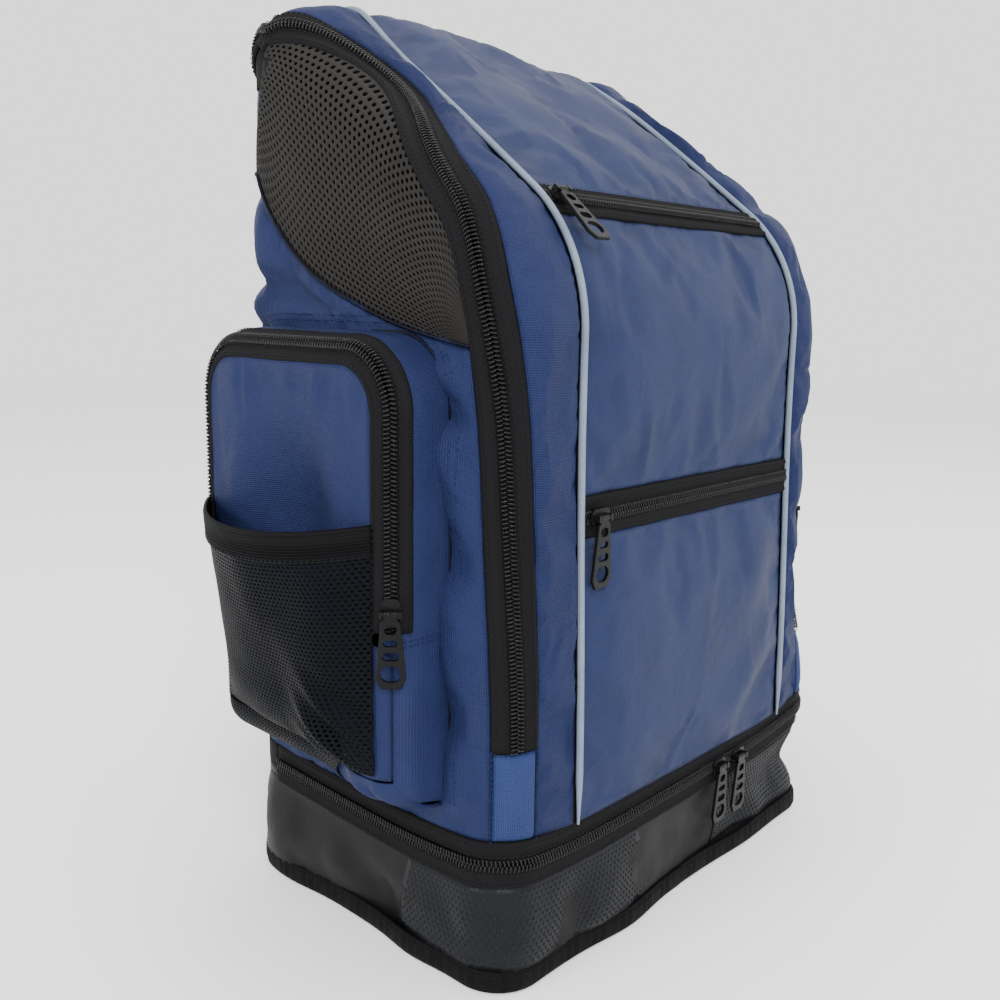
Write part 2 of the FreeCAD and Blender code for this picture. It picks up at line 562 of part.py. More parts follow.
def puller():
    """Puller hanging along -Y from its pin at the origin, flat in the XY plane."""
    wide, neck, end = PULLER_WIDTH / 2, PULLER_NECK / 2, PULLER_WIDTH / 2 - PULLER_CHAMFER / 2
    knuckle = KNUCKLE_WIDTH / 2
    outline = [(-knuckle, 0), (-knuckle, -PULLER_SHOULDER + 1), (-neck, -PULLER_SHOULDER),
               (-wide, -PULLER_LENGTH + PULLER_CHAMFER), (-end, -PULLER_LENGTH)]
    outline += [(-x, y) for x, y in reversed(outline)]
    points = [V(x, y, -PULLER_THICK / 2) for x, y in outline]
    plate = Part.Face(Part.makePolygon(points + points[:1])).extrude(V(0, 0, PULLER_THICK))
    rim = [e for e in plate.Edges if e.BoundBox.ZLength < TOUCH and e.BoundBox.YMax < -TOUCH]
    plate = plate.makeChamfer(PULLER_BEVEL, rim)
    barrel = Part.makeCylinder(KNUCKLE_RADIUS, KNUCKLE_WIDTH, V(-knuckle, 0, 0), V(1, 0, 0))
    bore_radius = PIN_RADIUS + PIN_CLEARANCE
    bore = Part.makeCylinder(bore_radius, KNUCKLE_WIDTH + 2, V(-knuckle - 1, 0, 0), V(1, 0, 0))
    body = plate.fuse(barrel).cut(bore)
    for below, rise, reach in PULLER_HOLES:
        body = body.cut(oval_hole(below, rise, reach))
    return body


def oval_hole(below, rise, reach):
    """A level oval hole through the puller, centred this far below the pin."""
    deep = 3 * PULLER_THICK
    ends = [Part.makeCylinder(rise, deep, V(x, -below, -deep / 2)) for x in (rise - reach, reach - rise)]
    middle = box(rise - reach, reach - rise, -below - rise, -below + rise, -deep / 2, deep / 2)
    return fuse(ends + [middle])


def export_slider(name, flanges, pin_along, origin, along, out):
    body, pull, pin_z = slider_set(flanges, pin_along)
    export(name + "_slider", placed(body, origin, along, out))
    export(name + "_puller", placed(pull, origin, along, out))
    pin = origin + out * pin_z - V(0, ORIGIN_Y, 0)
    print(name, "pin at", [round(c / 1000, 5) for c in pin])


def slider_parts():
    front = V(0, -1, 0)
    right = V(1, 0, 0)
    export_slider("lower_pocket", (-1, 1), "x", V(POCKET_SLIDER_X, FRONT_Y, LOWER_ZIP_Z), right, front)
    upper, tilt = bend_frame(UPPER_ZIP_BEND)
    export_slider("upper_pocket", (-1, 1), "x", V(POCKET_SLIDER_X, upper.y, upper.z), right, tilt)
    for side, x in zip(("left", "right"), BASE_SLIDER_X):
        export_slider("base_" + side, (-1,), "x", V(x, FRONT_Y, BASE_ZIP_Z), right, front)
    for side, sign in (("left", -1), ("right", 1)):
        spot = V(sign * MAIN_SLIDER_X, BACK_Y, MAIN_ZIP_BACK_Z)
        export_slider("main_" + side, (-1,), "x", spot, V(-1, 0, 0), V(0, 1, 0))
        edge_x = POUCH_OUT_X - POUCH_EDGE + POUCH_EDGE * math.sin(HALF_WAY)
        edge_y = POUCH_FRONT_Y + POUCH_EDGE * (1 - math.cos(HALF_WAY))
        out = V(sign * math.sin(HALF_WAY), -math.cos(HALF_WAY), 0)
        export_slider("pouch_" + side, (), "y", V(sign * edge_x, edge_y, POUCH_SLIDER_Z), V(0, 0, 1), out)


# ---------------------------------------------------------------- harness

def rounded_pad(x0, x1, z0, z1, radius, y0, thick):
    corners = [(x0, z0, radius), (x1, z0, radius), (x1, z1, radius), (x0, z1, radius)]
    pad = rounded_plate(corners, y0, y0 + thick)
    rim = [e for e in pad.Edges if all(abs(v.Y - y0 - thick) < 1e-6 for v in e.Vertexes)]
    return pad.makeFillet(PAD_ROUND, rim)


def strap_path():
    """Side profile (y, z) of the right strap's middle, from root to ladder lock."""
    root_z = STRAP_ROOT[1] - 11
    return [(BACK_Y + 10, root_z), (BACK_Y + STRAP_OUT - 6, root_z - 40), (BACK_Y + STRAP_OUT, root_z - 120),
            (BACK_Y + STRAP_OUT - 2, root_z - 200), (BACK_Y + STRAP_OUT - 12, STRAP_LOW_Z)]


def strap_ribbon(path, widths, thick):
    """A band through side-profile points with an X range at each, as a loft of slanted rectangles."""
    wires = []
    count = len(path)
    for i, ((y, z), (x0, x1)) in enumerate(zip(path, widths)):
        before, after = path[max(i - 1, 0)], path[min(i + 1, count - 1)]
        dy, dz = after[0] - before[0], after[1] - before[1]
        length = math.hypot(dy, dz)
        ny, nz = -dz / length * thick / 2, dy / length * thick / 2
        points = [V(x0, y - ny, z - nz), V(x1, y - ny, z - nz), V(x1, y + ny, z + nz), V(x0, y + ny, z + nz)]
        wires.append(Part.makePolygon(points + points[:1]))
    return Part.makeLoft(wires, True, True)


def patch_on_back(x, half_x, z0, z1, thick):
    return box(x - half_x, x + half_x, BACK_Y, BACK_Y + thick, z0, z1)


def anchor_patches():
    """Stitched patches that hold the straps, their webbing and the haul loop."""
    patches = []
    root_z, foot_z = STRAP_ROOT[1], STRAP_FOOT[1]
    for sign in (-1, 1):
        patches.append(patch_on_back(sign * STRAP_ROOT[0], ROOT_PATCH_HALF, root_z - ROOT_PATCH_RISE,
                                     root_z + ROOT_PATCH_RISE, PATCH_TAPE))
        patches.append(patch_on_back(sign * STRAP_FOOT[0], FOOT_PATCH_HALF, foot_z - FOOT_PATCH_RISE,
                                     foot_z + FOOT_PATCH_RISE, PATCH_TAPE))
        patches.append(patch_on_back(sign * LOOP_RADIUS, LOOP_TAB_HALF, LOOP_Z - LOOP_TAB_DROP,
                                     LOOP_Z + LOOP_TAB_RISE, LOOP_TAB_THICK))
    return Part.Compound(patches)


def ladder_lock(centre_x, centre_y, centre_z, lean):
    buckle = box(-LOCK_HALF_X, LOCK_HALF_X, -LOCK_HALF_Y, LOCK_HALF_Y, -LOCK_HALF_Z, LOCK_HALF_Z)
    deep = 2 * LOCK_HALF_Y
    for foot in LOCK_SLOT_FEET:
        buckle = buckle.cut(box(-LOCK_SLOT_HALF, LOCK_SLOT_HALF, -deep, deep, foot, foot + LOCK_SLOT_HEIGHT))
    buckle.rotate(V(0, 0, 0), V(1, 0, 0), lean)
    buckle.translate(V(centre_x, centre_y, centre_z))
    return buckle


def haul_loop():
    top = LOOP_Z + LOOP_LEG
    ring = Part.makeTorus(LOOP_RADIUS, LOOP_SECTION, V(0, LOOP_Y, top), V(0, 1, 0))
    ring = ring.common(box(-WIDE, WIDE, 0, CUT_BACK, top, CUT_TOP))
    legs = [Part.makeCylinder(LOOP_SECTION, LOOP_LEG, V(s * LOOP_RADIUS, LOOP_Y, LOOP_Z)) for s in (-1, 1)]
    return fuse([ring] + legs)


def harness_parts():
    pads = [rounded_pad(x0, x1, PAD_FOOT_Z, PAD_TOP_Z, PAD_CORNER, BACK_Y, PAD_THICK)
            for x0, x1 in ((-PAD_OUT_X, -PAD_IN_X), (PAD_IN_X, PAD_OUT_X))]
    pads.append(rounded_pad(-LUMBAR_HALF, LUMBAR_HALF, LUMBAR_FOOT_Z, LUMBAR_TOP_Z, LUMBAR_CORNER, BACK_Y,
                            PAD_THICK))
    export("back_pads", Part.Compound(pads))
    export("harness_anchors", anchor_patches())
    path = strap_path()
    root_x = STRAP_ROOT[0]
    centre = [root_x, root_x - 2, root_x + 4, root_x + 16, root_x + 32]
    half = [19, 29, 31, 29, 16]
    ranges = [(c - h, c + h) for c, h in zip(centre, half)]
    export_pair("shoulder_strap", strap_ribbon(path, ranges, STRAP_THICK))
    (above_y, above_z), (end_y, end_z) = path[-2:]
    lean = math.degrees(math.atan2(end_y - above_y, above_z - end_z))
    lock_z = end_z - LOCK_DROP
    export_pair("ladder_lock", ladder_lock(centre[-1], end_y - 2.0, lock_z, lean))
    low = [(end_y - 5.0, lock_z - 16), (BACK_Y + 18, 158), (BACK_Y + 13, 134),
           (BACK_Y + 7, STRAP_FOOT[1] + 17)]
    xs = [centre[-1], centre[-1] + 17, STRAP_FOOT[0] - 4, STRAP_FOOT[0]]
    ranges = [(x - WEBBING_WIDTH / 2, x + WEBBING_WIDTH / 2) for x in xs]
    export_pair("strap_webbing", strap_ribbon(low, ranges, WEBBING_THICK))
    export("haul_loop", haul_loop())


def build():
    os.makedirs("parts", exist_ok=True)
    base_parts()
    base_zip_half(-1, "base_zip_lower_half")
    base_zip_half(1, "base_zip_upper_half")
    pack_parts()
    main_zip_half("main_zip_rear_half", -1)
    flap_parts(main_zip_half("main_zip_flap_half", 1))
    pouch_parts()
    bottle_pocket()
    slider_parts()
    harness_parts()


build()
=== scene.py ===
import json
import math

import bpy
from mathutils import Matrix, Vector, noise
from mathutils.bvhtree import BVHTree

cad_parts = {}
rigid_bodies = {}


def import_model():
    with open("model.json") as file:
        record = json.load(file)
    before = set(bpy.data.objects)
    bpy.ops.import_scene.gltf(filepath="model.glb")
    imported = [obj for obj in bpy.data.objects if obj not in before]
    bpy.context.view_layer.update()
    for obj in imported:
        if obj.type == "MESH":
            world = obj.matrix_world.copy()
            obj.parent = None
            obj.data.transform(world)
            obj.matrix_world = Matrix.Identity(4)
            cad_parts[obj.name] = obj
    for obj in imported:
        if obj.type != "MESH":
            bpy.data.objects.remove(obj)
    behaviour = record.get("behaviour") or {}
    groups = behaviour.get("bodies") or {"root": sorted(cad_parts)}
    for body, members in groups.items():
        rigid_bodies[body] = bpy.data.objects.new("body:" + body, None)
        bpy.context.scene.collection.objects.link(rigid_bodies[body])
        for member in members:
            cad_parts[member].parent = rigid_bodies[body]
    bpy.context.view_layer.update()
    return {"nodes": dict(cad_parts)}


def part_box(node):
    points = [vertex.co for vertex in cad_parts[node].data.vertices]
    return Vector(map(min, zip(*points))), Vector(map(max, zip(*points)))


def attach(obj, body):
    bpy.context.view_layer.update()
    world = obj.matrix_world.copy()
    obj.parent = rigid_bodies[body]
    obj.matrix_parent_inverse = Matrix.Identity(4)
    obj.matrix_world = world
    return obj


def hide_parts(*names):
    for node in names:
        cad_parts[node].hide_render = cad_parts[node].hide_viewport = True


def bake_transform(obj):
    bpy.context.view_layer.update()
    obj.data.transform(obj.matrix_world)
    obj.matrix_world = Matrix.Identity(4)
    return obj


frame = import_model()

SIDES = (("left", -1), ("right", 1))
MIDDLE = Vector((0, 0, 0.25))                         # inside the bag, to tell outward faces
TO_REAR, TO_TOP = Vector((0, 1, 0)), Vector((0, 0, 1))
ROW = 0.004                                           # usual spacing of points along a seam
PANEL_CLOTH, POUCH_CLOTH, BASE_CLOTH, FACING = 0.0016, 0.0014, 0.0018, 0.0008       # thicknesses

# ------------------------------------------------------------------ sizes, from the frame
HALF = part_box("side_panel_right")[1][0]
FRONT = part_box("lower_pocket_panel")[0][1]
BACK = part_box("back_panel")[1][1]
BACK_SHIFT = BACK - 0.112                  # the frame's origin, seen from the bag's own middle
R_EDGE, R_BEND, R_TOP = 0.026, 0.090, 0.028
SLOPE_Y, SLOPE_Z, TOP_Z = -0.070 + BACK_SHIFT, 0.403, 0.532
SLOPE = math.atan2(TOP_Z - SLOPE_Z, BACK - SLOPE_Y)
POCKET_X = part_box("lower_pocket_panel")[1][0]       # half width of the front pockets
PIPING_T = POCKET_X + 0.0019
STRIP_IN = PIPING_T + 0.0019
TAPE_HALF, SMALL_TAPE_HALF = 0.012, 0.010
ZIP_T = HALF - R_EDGE + R_EDGE * math.pi / 4          # main zip, along the skin from the centre
SIDE_T = HALF - R_EDGE + R_EDGE * math.pi / 2         # where the side panel is flat
BASE_ZIP_Z = 0.066
FOOT_Z = 0.130
LOW_ZIP_S = 0.242
BACK_ZIP_Z = 0.480
ZIP_TURN = 0.020


# ------------------------------------------------------------------ the bag's outer form
def corner_facts():
    """Bend and top corner of the side outline: centres, and arc lengths where each piece ends."""
    front_corner_z = SLOPE_Z + math.tan(SLOPE) * (FRONT - SLOPE_Y)
    half = (math.pi / 2 + SLOPE) / 2
    bend_z = front_corner_z - R_BEND / math.tan(half)
    bend_c = (FRONT + R_BEND, bend_z)
    half_top = (math.pi / 2 - SLOPE) / 2
    top_z = TOP_Z - R_TOP / math.tan(half_top)
    top_c = (BACK - R_TOP, top_z)
    s1 = bend_z
    s2 = s1 + R_BEND * (math.pi / 2 - SLOPE)
    end1 = (bend_c[0] - R_BEND * math.sin(SLOPE), bend_c[1] + R_BEND * math.cos(SLOPE))
    start2 = (top_c[0] - R_TOP * math.sin(SLOPE), top_c[1] + R_TOP * math.cos(SLOPE))
    s3 = s2 + math.hypot(start2[0] - end1[0], start2[1] - end1[1])
    s4 = s3 + R_TOP * (math.pi / 2 + SLOPE)
    return bend_c, top_c, end1, s1, s2, s3, s4


BEND_C, TOP_C, SLOPE_START, S1, S2, S3, S4 = corner_facts()


def outline(s):
    """Point (y, z) and outward normal of the side outline, s along it from the floor at the front."""
    if s <= S1:
        return FRONT, s, -1.0, 0.0
    if s <= S2:
        a = (s - S1) / R_BEND
        n = (-math.cos(a), math.sin(a))
        return BEND_C[0] + R_BEND * n[0], BEND_C[1] + R_BEND * n[1], n[0], n[1]
    if s <= S3:
        d = s - S2
        n = (-math.sin(SLOPE), math.cos(SLOPE))
        return SLOPE_START[0] + d * math.cos(SLOPE), SLOPE_START[1] + d * math.sin(SLOPE), n[0], n[1]
    if s <= S4:
        a = (s - S3) / R_TOP
        n = (math.sin(a - SLOPE), math.cos(a - SLOPE))
        return TOP_C[0] + R_TOP * n[0], TOP_C[1] + R_TOP * n[1], n[0], n[1]
    return BACK, TOP_C[1] - (s - S4), 1.0, 0.0


def back_s(z):
    """Arc length of a height on the back."""
    return S4 + TOP_C[1] - z


def skin(s, t, out=0.0):
    """Point and normal on the bag: s along the side outline, t round it from the centre plane."""
    y, z, ny, nz = outline(s)
    side = -1.0 if t < 0 else 1.0
    a = abs(t)
    flat = HALF - R_EDGE
    if a <= flat:
        n = Vector((0.0, ny, nz))
        return Vector((t, y, z)) + n * out, n
    if a <= SIDE_T:
        th = (a - flat) / R_EDGE
        inset = R_EDGE * (1 - math.cos(th))
        n = Vector((side * math.sin(th), ny * math.cos(th), nz * math.cos(th)))
        p = Vector((side * (flat + R_EDGE * math.sin(th)), y - ny * inset, z - nz * inset))
        return p + n * out, n
    inset = R_EDGE + a - SIDE_T
    n = Vector((side, 0.0, 0.0))
    return Vector((side * HALF, y - ny * inset, z - nz * inset)) + n * out, n


def inset_at(y, z):
    """How far inside the side outline a point of the side panel lies."""
    from_front = y - FRONT
    from_back = BACK - y
    n = (-math.sin(SLOPE), math.cos(SLOPE))
    from_slope = -((y - SLOPE_START[0]) * n[0] + (z - SLOPE_START[1]) * n[1])
    best = min(from_front, from_back, from_slope)
    dy, dz = y - BEND_C[0], z - BEND_C[1]
    ang = math.atan2(dz, -dy)
    if dz > 0 and 0 < ang < math.pi / 2 - SLOPE:
        return min(R_BEND - math.hypot(dy, dz), from_back)
    dy, dz = y - TOP_C[0], z - TOP_C[1]
    ang = math.atan2(dy, dz)
    if -SLOPE < ang < math.pi / 2 and math.hypot(dy, dz) > 1e-6:
        return R_TOP - math.hypot(dy, dz)
    return best


def side_point(side, y, z, out=0.0):
    """Point on a side panel at (y, z), rounded towards its rim, moved out along X mostly."""
    e = min(max(inset_at(y, z), 0.0), R_EDGE)
    x = HALF - R_EDGE + math.sqrt(max(R_EDGE ** 2 - (R_EDGE - e) ** 2, 0.0))
    return Vector((side * (x + out), y, z))


def hump(x, centre, width):
    return math.exp(-((x - centre) / width) ** 2)


def smooth(x, low, high):
    """0 below low, 1 above high, eased between."""
    f = min(max((x - low) / (high - low), 0.0), 1.0)
    return f * f * (3 - 2 * f)


def zip_shift(s):
    """The main zip's line leaves the middle of the rounded edge: forward at its foot, back round the bend and
    in towards the piping on the slope."""
    foot = -0.007 * (1 - smooth(s, 0.13, 0.29))
    bend = 0.010 * hump(s, 0.358, 0.050)
    slope = -0.026 * hump(s, 0.514, 0.056)
    crest = 0.010 * hump(s, 0.596, 0.018)
    return (foot + bend + slope + crest) * (1 - smooth(s, 0.605, 0.622))


def zip_t(s):
    return ZIP_T + zip_shift(s)


# ------------------------------------------------------------------ mesh helpers
def new_object(name, verts, faces, material=None, uvs=None):
    me = bpy.data.meshes.new(name)
    me.from_pydata([tuple(v) for v in verts], [], faces)
    me.update()
    if uvs is not None:
        layer = me.uv_layers.new(name="UVMap")
        for loop in me.loops:
            layer.data[loop.index].uv = uvs[loop.vertex_index]
    for poly in me.polygons:
        poly.use_smooth = True
    ob = bpy.data.objects.new(name, me)
    bpy.context.scene.collection.objects.link(ob)
    if material is not None:
        me.materials.append(material)
    return ob


def sheet_faces(rows, n, close=False):
    """Quads between rows of n points; close joins the last row to the first."""
    return [(i * n + j, k * n + j, k * n + j + 1, i * n + j + 1)
            for i in range(rows if close else rows - 1) for k in [(i + 1) % rows] for j in range(n - 1)]


def tube_faces(rings, n, caps=0):
    """Quads round rings of n points; caps closes both ends, 1 and -1 facing opposite ways."""
    faces = [(i * n + r, i * n + q, (i + 1) * n + q, (i + 1) * n + r)
             for i in range(rings - 1) for r in range(n) for q in [(r + 1) % n]]
    if caps:
        ends = [tuple(range(n)), tuple(reversed(range((rings - 1) * n, rings * n)))]
        faces += [end[::caps] for end in ends]
    return faces


def turns(n, count=None):
    """Angles of n equal steps round a circle; count can repeat the first one at the end."""
    return [2 * math.pi * k / n for k in range(count or n)]


def grid(name, fn, us, vs, material, close_u=False):
    """A sheet fn(u, v) -> point over two lists of parameters, with those parameters as its UVs."""
    pairs = [(u, v) for u in us for v in vs]
    ob = new_object(name, [fn(u, v) for u, v in pairs], sheet_faces(len(us), len(vs), close_u), material, pairs)
    ob["nu"], ob["nv"] = len(us), len(vs)
    return ob


def sheet(name, fn, us, vs, material, thickness, centre=MIDDLE, metric=True, close_u=False):
    """A finished sheet: its grid, UVs in metres where the weave shows, faces outward, and a thickness."""
    ob = grid(name, fn, us, vs, material, close_u)
    if metric:
        metric_uv(ob)
    face_out(ob, centre)
    solidify(ob, thickness)
    return ob


def metric_uv(ob):
    """Rewrites a grid's UVs as running lengths along its two directions."""
    nu, nv = ob["nu"], ob["nv"]
    co = [v.co for v in ob.data.vertices]
    u = along([co[i * nv + nv // 2] for i in range(nu)])
    v = along([co[(nu // 2) * nv + j] for j in range(nv)])
    layer = ob.data.uv_layers["UVMap"]
    for loop in ob.data.loops:
        i, j = divmod(loop.vertex_index, nv)
        layer.data[loop.index].uv = (u[i], v[j])


def along(path):
    """Running length of a list of 3-D points."""
    total, out = 0.0, [0.0]
    for a, b in zip(path, path[1:]):
        total += (b - a).length
        out.append(total)
    return out


def span(a, b, step):
    """Evenly spaced values from a to b, about step apart."""
    n = max(2, int(round(abs(b - a) / step)) + 1)
    return [a + (b - a) * i / (n - 1) for i in range(n)]


def face_out(ob, centre=MIDDLE):
    """Turns the faces so that most of them look away from the bag's middle."""
    me = ob.data
    total = 0.0
    for poly in me.polygons:
        total += poly.normal.dot(poly.center - centre) * poly.area
    if total < 0:
        me.flip_normals()


def solidify(ob, thickness, offset=-1.0):
    mod = ob.modifiers.new("thick", "SOLIDIFY")
    mod.thickness = thickness
    mod.offset = offset


def fbm(p, scale, seed=0.0):
    q = Vector((p[0] * scale + seed, p[1] * scale - seed * 0.7, p[2] * scale + seed * 0.3))
    return noise.fractal(q, 0.9, 2.0, 3)


def place(ob, body, replaced=()):
    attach(ob, body)
    if replaced:
        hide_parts(*replaced)
    return ob


# ------------------------------------------------------------------ materials
def nodes_of(name):
    mat = bpy.data.materials.new(name)
    mat.use_nodes = True
    nt = mat.node_tree
    return mat, nt, nt.nodes["Principled BSDF"]


def node(nt, kind, **values):
    n = nt.nodes.new(kind)
    for key, value in values.items():
        if key in n.inputs:
            n.inputs[key].default_value = value
        else:
            setattr(n, key, value)
    return n


def ramp(nt, fac, stops):
    r = node(nt, "ShaderNodeValToRGB")
    els = r.color_ramp.elements
    while len(els) < len(stops):
        els.new(0.5)
    for el, (pos, col) in zip(els, stops):
        el.position = pos
        el.color = (*col, 1.0)
    nt.links.new(fac, r.inputs["Fac"])
    return r.outputs["Color"]


def grey_ramp(nt, fac, lo, hi):
    return ramp(nt, fac, [(0.3, (lo,) * 3), (0.7, (hi,) * 3)])


def put(shader, **values):
    """Constants on a shader's inputs; an underscore in a name stands for a space."""
    for key, value in values.items():
        shader.inputs[key.replace("_", " ")].default_value = value


def weave(nt, coords, threads):
    """Height of an over-and-under weave: two crossed rows of threads."""
    mix = node(nt, "ShaderNodeMath", operation="MAXIMUM")
    for i, axis in enumerate("XY"):
        w = node(nt, "ShaderNodeTexWave", bands_direction=axis, wave_profile="SIN", Scale=threads, Distortion=0.6,
                 Detail=1.0)
        put(w, Detail_Scale=0.4)
        nt.links.new(coords, w.inputs["Vector"])
        nt.links.new(w.outputs["Fac"], mix.inputs[i])
    return mix.outputs[0]


def bump(nt, height, strength, distance, previous=None):
    b = node(nt, "ShaderNodeBump", Strength=strength, Distance=distance)
    nt.links.new(height, b.inputs["Height"])
    if previous is not None:
        nt.links.new(previous, b.inputs["Normal"])
    return b.outputs["Normal"]


def cloudy(nt, coords, **values):
    """Noise over the given coordinates, as a factor."""
    n = node(nt, "ShaderNodeTexNoise", **values)
    nt.links.new(coords, n.inputs["Vector"])
    return n.outputs["Fac"]


def times_plus(nt, a, factor, b):
    n = node(nt, "ShaderNodeMath", operation="MULTIPLY_ADD")
    nt.links.new(a, n.inputs[0])
    n.inputs[1].default_value = factor
    nt.links.new(b, n.inputs[2])
    return n.outputs[0]


def fabric(name, dark, light, threads=300.0, rough=(0.40, 0.60), uv=True, fold=0.0018, relief=0.0003, show=0.55):
    """Woven polyester: a weave that shows in colour and relief, cloudy colour, small soft folds."""
    mat, nt, bsdf = nodes_of(name)
    coords = node(nt, "ShaderNodeTexCoord").outputs
    cloud = cloudy(nt, coords["Object"], Scale=26.0, Detail=5.0, Roughness=0.6)
    fine = cloudy(nt, coords["Object"], Scale=700.0, Detail=2.0, Roughness=0.7)
    threads_up = weave(nt, coords["UV" if uv else "Object"], threads)
    shade = times_plus(nt, threads_up, show, times_plus(nt, fine, 0.40, cloud))
    nt.links.new(ramp(nt, shade, [(0.45 + show * 0.25, dark), (0.85 + show, light)]), bsdf.inputs["Base Color"])
    nt.links.new(grey_ramp(nt, cloud, *rough), bsdf.inputs["Roughness"])
    folds = cloudy(nt, coords["Object"], Scale=38.0, Detail=3.0, Roughness=0.55, Distortion=0.9)
    nt.links.new(bump(nt, threads_up, 0.6, relief, bump(nt, folds, 0.45, fold)), bsdf.inputs["Normal"])
    put(bsdf, Specular_IOR_Level=0.09)
    return mat


def ribbed(name, colour, ribs, axis="X", rough=0.6, depth=0.0003):
    """Tape or elastic with ribs across its length."""
    mat, nt, bsdf = nodes_of(name)
    coords = node(nt, "ShaderNodeTexCoord").outputs
    w = node(nt, "ShaderNodeTexWave", bands_direction=axis, wave_profile="SIN", Scale=ribs)
    nt.links.new(coords["UV"], w.inputs["Vector"])
    height = times_plus(nt, cloudy(nt, coords["Object"], Scale=1200.0, Detail=2.0), 0.5, w.outputs["Fac"])
    brighter = [c * 1.6 for c in colour]
    nt.links.new(ramp(nt, height, [(0.2, colour), (1.2, brighter)]), bsdf.inputs["Base Color"])
    put(bsdf, Roughness=rough, Specular_IOR_Level=0.06)
    nt.links.new(bump(nt, height, 0.6, depth), bsdf.inputs["Normal"])
    return mat


def coated(name, dark, light, rough, grain=650.0, spec=0.08):
    """Coated base fabric, moulded plastic and rubber: fine grain and smears in the gloss."""
    mat, nt, bsdf = nodes_of(name)
    coords = node(nt, "ShaderNodeTexCoord").outputs["Object"]
    smear = cloudy(nt, coords, Scale=18.0, Detail=6.0, Roughness=0.65)
    nt.links.new(ramp(nt, smear, [(0.3, dark), (0.75, light)]), bsdf.inputs["Base Color"])
    nt.links.new(grey_ramp(nt, smear, rough - 0.08, rough + 0.1), bsdf.inputs["Roughness"])
    cells = node(nt, "ShaderNodeTexVoronoi", feature="F1", Scale=grain)
    nt.links.new(coords, cells.inputs["Vector"])
    nt.links.new(bump(nt, cells.outputs["Distance"], 0.35, 0.0004), bsdf.inputs["Normal"])
    put(bsdf, Specular_IOR_Level=spec)
    return mat


def make_materials():
    m = {}
    m["navy"] = fabric("navy_oxford", (0.0005, 0.0010, 0.0045), (0.0125, 0.0190, 0.0640), threads=270.0,
                       relief=0.0007, show=1.0, fold=0.004)
    # The same navy oxford with its darks lightened for the front panels: painted light, standing in for the lit,
    # glossy front.
    m["navy_front"] = fabric("navy_oxford_front_painted_light", (0.0075, 0.0118, 0.0360), (0.0150, 0.0225, 0.0640), threads=330.0,
                             rough=(0.38, 0.50), relief=0.00020, show=0.35, fold=0.0026)
    m["patch"] = fabric("navy_patch", (0.0020, 0.0045, 0.0180), (0.0190, 0.0330, 0.1050), threads=270.0,
                        relief=0.0007, show=1.0)
    m["tape"] = ribbed("zip_tape", (0.0046, 0.0045, 0.0050), 900.0, rough=0.7, depth=0.00015)
    m["binding"] = ribbed("binding_tape", (0.0022, 0.0022, 0.0025), 420.0, rough=0.62, depth=0.0003)
    m["elastic"] = ribbed("ribbed_elastic", (0.0024, 0.0024, 0.0028), 170.0, axis="Y", rough=0.6, depth=0.0005)
    m["webbing"] = ribbed("webbing", (0.0030, 0.0030, 0.0032), 300.0, axis="Y", rough=0.65, depth=0.0004)
    m["coil"] = coated("coil_nylon", (0.0020, 0.0020, 0.0021), (0.0045, 0.0045, 0.0045), 0.28, spec=0.22)
    m["thread"] = coated("thread", (0.0060, 0.0065, 0.0090), (0.0110, 0.0120, 0.0150), 0.6)
    m["thread_navy"] = coated("thread_navy", (0.0070, 0.0120, 0.0420), (0.0140, 0.0230, 0.0720), 0.55)
    m["mesh"] = coated("mesh_charcoal", (0.0110, 0.0100, 0.0090), (0.0190, 0.0175, 0.0160), 0.6)
    m["mesh_dark"] = coated("mesh_black", (0.0016, 0.0019, 0.0026), (0.0036, 0.0042, 0.0054), 0.5, spec=0.04)
    m["behind"] = coated("spacer_backing", (0.0006, 0.0006, 0.0006), (0.0014, 0.0014, 0.0014), 0.9, spec=0.05)
    m["tarp"] = coated("base_tarpaulin", (0.0040, 0.0039, 0.0038), (0.0080, 0.0077, 0.0075), 0.40, grain=900.0,
                       spec=0.09)
    m["rubber"] = coated("raised_dots", (0.0038, 0.0042, 0.0054), (0.0076, 0.0082, 0.0100), 0.38, spec=0.11)
    m["piping"] = fabric("reflective_piping", (0.115, 0.145, 0.195), (0.185, 0.225, 0.285), threads=600.0,
                         rough=(0.32, 0.42), uv=False, fold=0.0003, show=0.1)
    m["pad"] = fabric("air_mesh_pad", (0.0030, 0.0030, 0.0034), (0.0130, 0.0130, 0.0140), threads=150.0, uv=False,
                      rough=(0.7, 0.85), relief=0.0006, fold=0.0008)
    m["lining"] = fabric("lining", (0.010, 0.0105, 0.012), (0.024, 0.025, 0.028), uv=False)
    m["plastic"] = coated("moulded_plastic", (0.0035, 0.0035, 0.0036), (0.0070, 0.0070, 0.0072), 0.3, grain=2000.0,
                          spec=0.25)
    m["metal"] = coated("gunmetal", (0.0032, 0.0032, 0.0035), (0.0075, 0.0075, 0.0080), 0.27, grain=1500.0,
                        spec=0.10)
    put(m["metal"].node_tree.nodes["Principled BSDF"], Metallic=0.1)
    m["board"] = coated("foamed_board", (0.12, 0.12, 0.115), (0.18, 0.18, 0.17), 0.8)
    return m


MAT = make_materials()


# ------------------------------------------------------------------ soft shapes
def edge_rise(a, soft):
    """0 at both ends of 0..1, rising to 1 within soft of each."""
    d = min(a, 1 - a) / soft
    return 1.0 if d >= 1 else math.sin(max(d, 0.0) * math.pi / 2)


def rumple(p, amp, scale=16.0, stretch=(1.0, 1.0, 0.45), seed=0.0):
    """Soft folds of cloth: a smooth part and ridged creases that run mostly down the panel."""
    q = (p[0] * stretch[0], p[1] * stretch[1], p[2] * stretch[2])
    ridge = 1.0 - abs(fbm(q, scale * 0.8, seed + 7.3)) * 3.0
    return amp * (0.7 * fbm(q, scale, seed) + 0.3 * max(ridge, 0.0) ** 2)


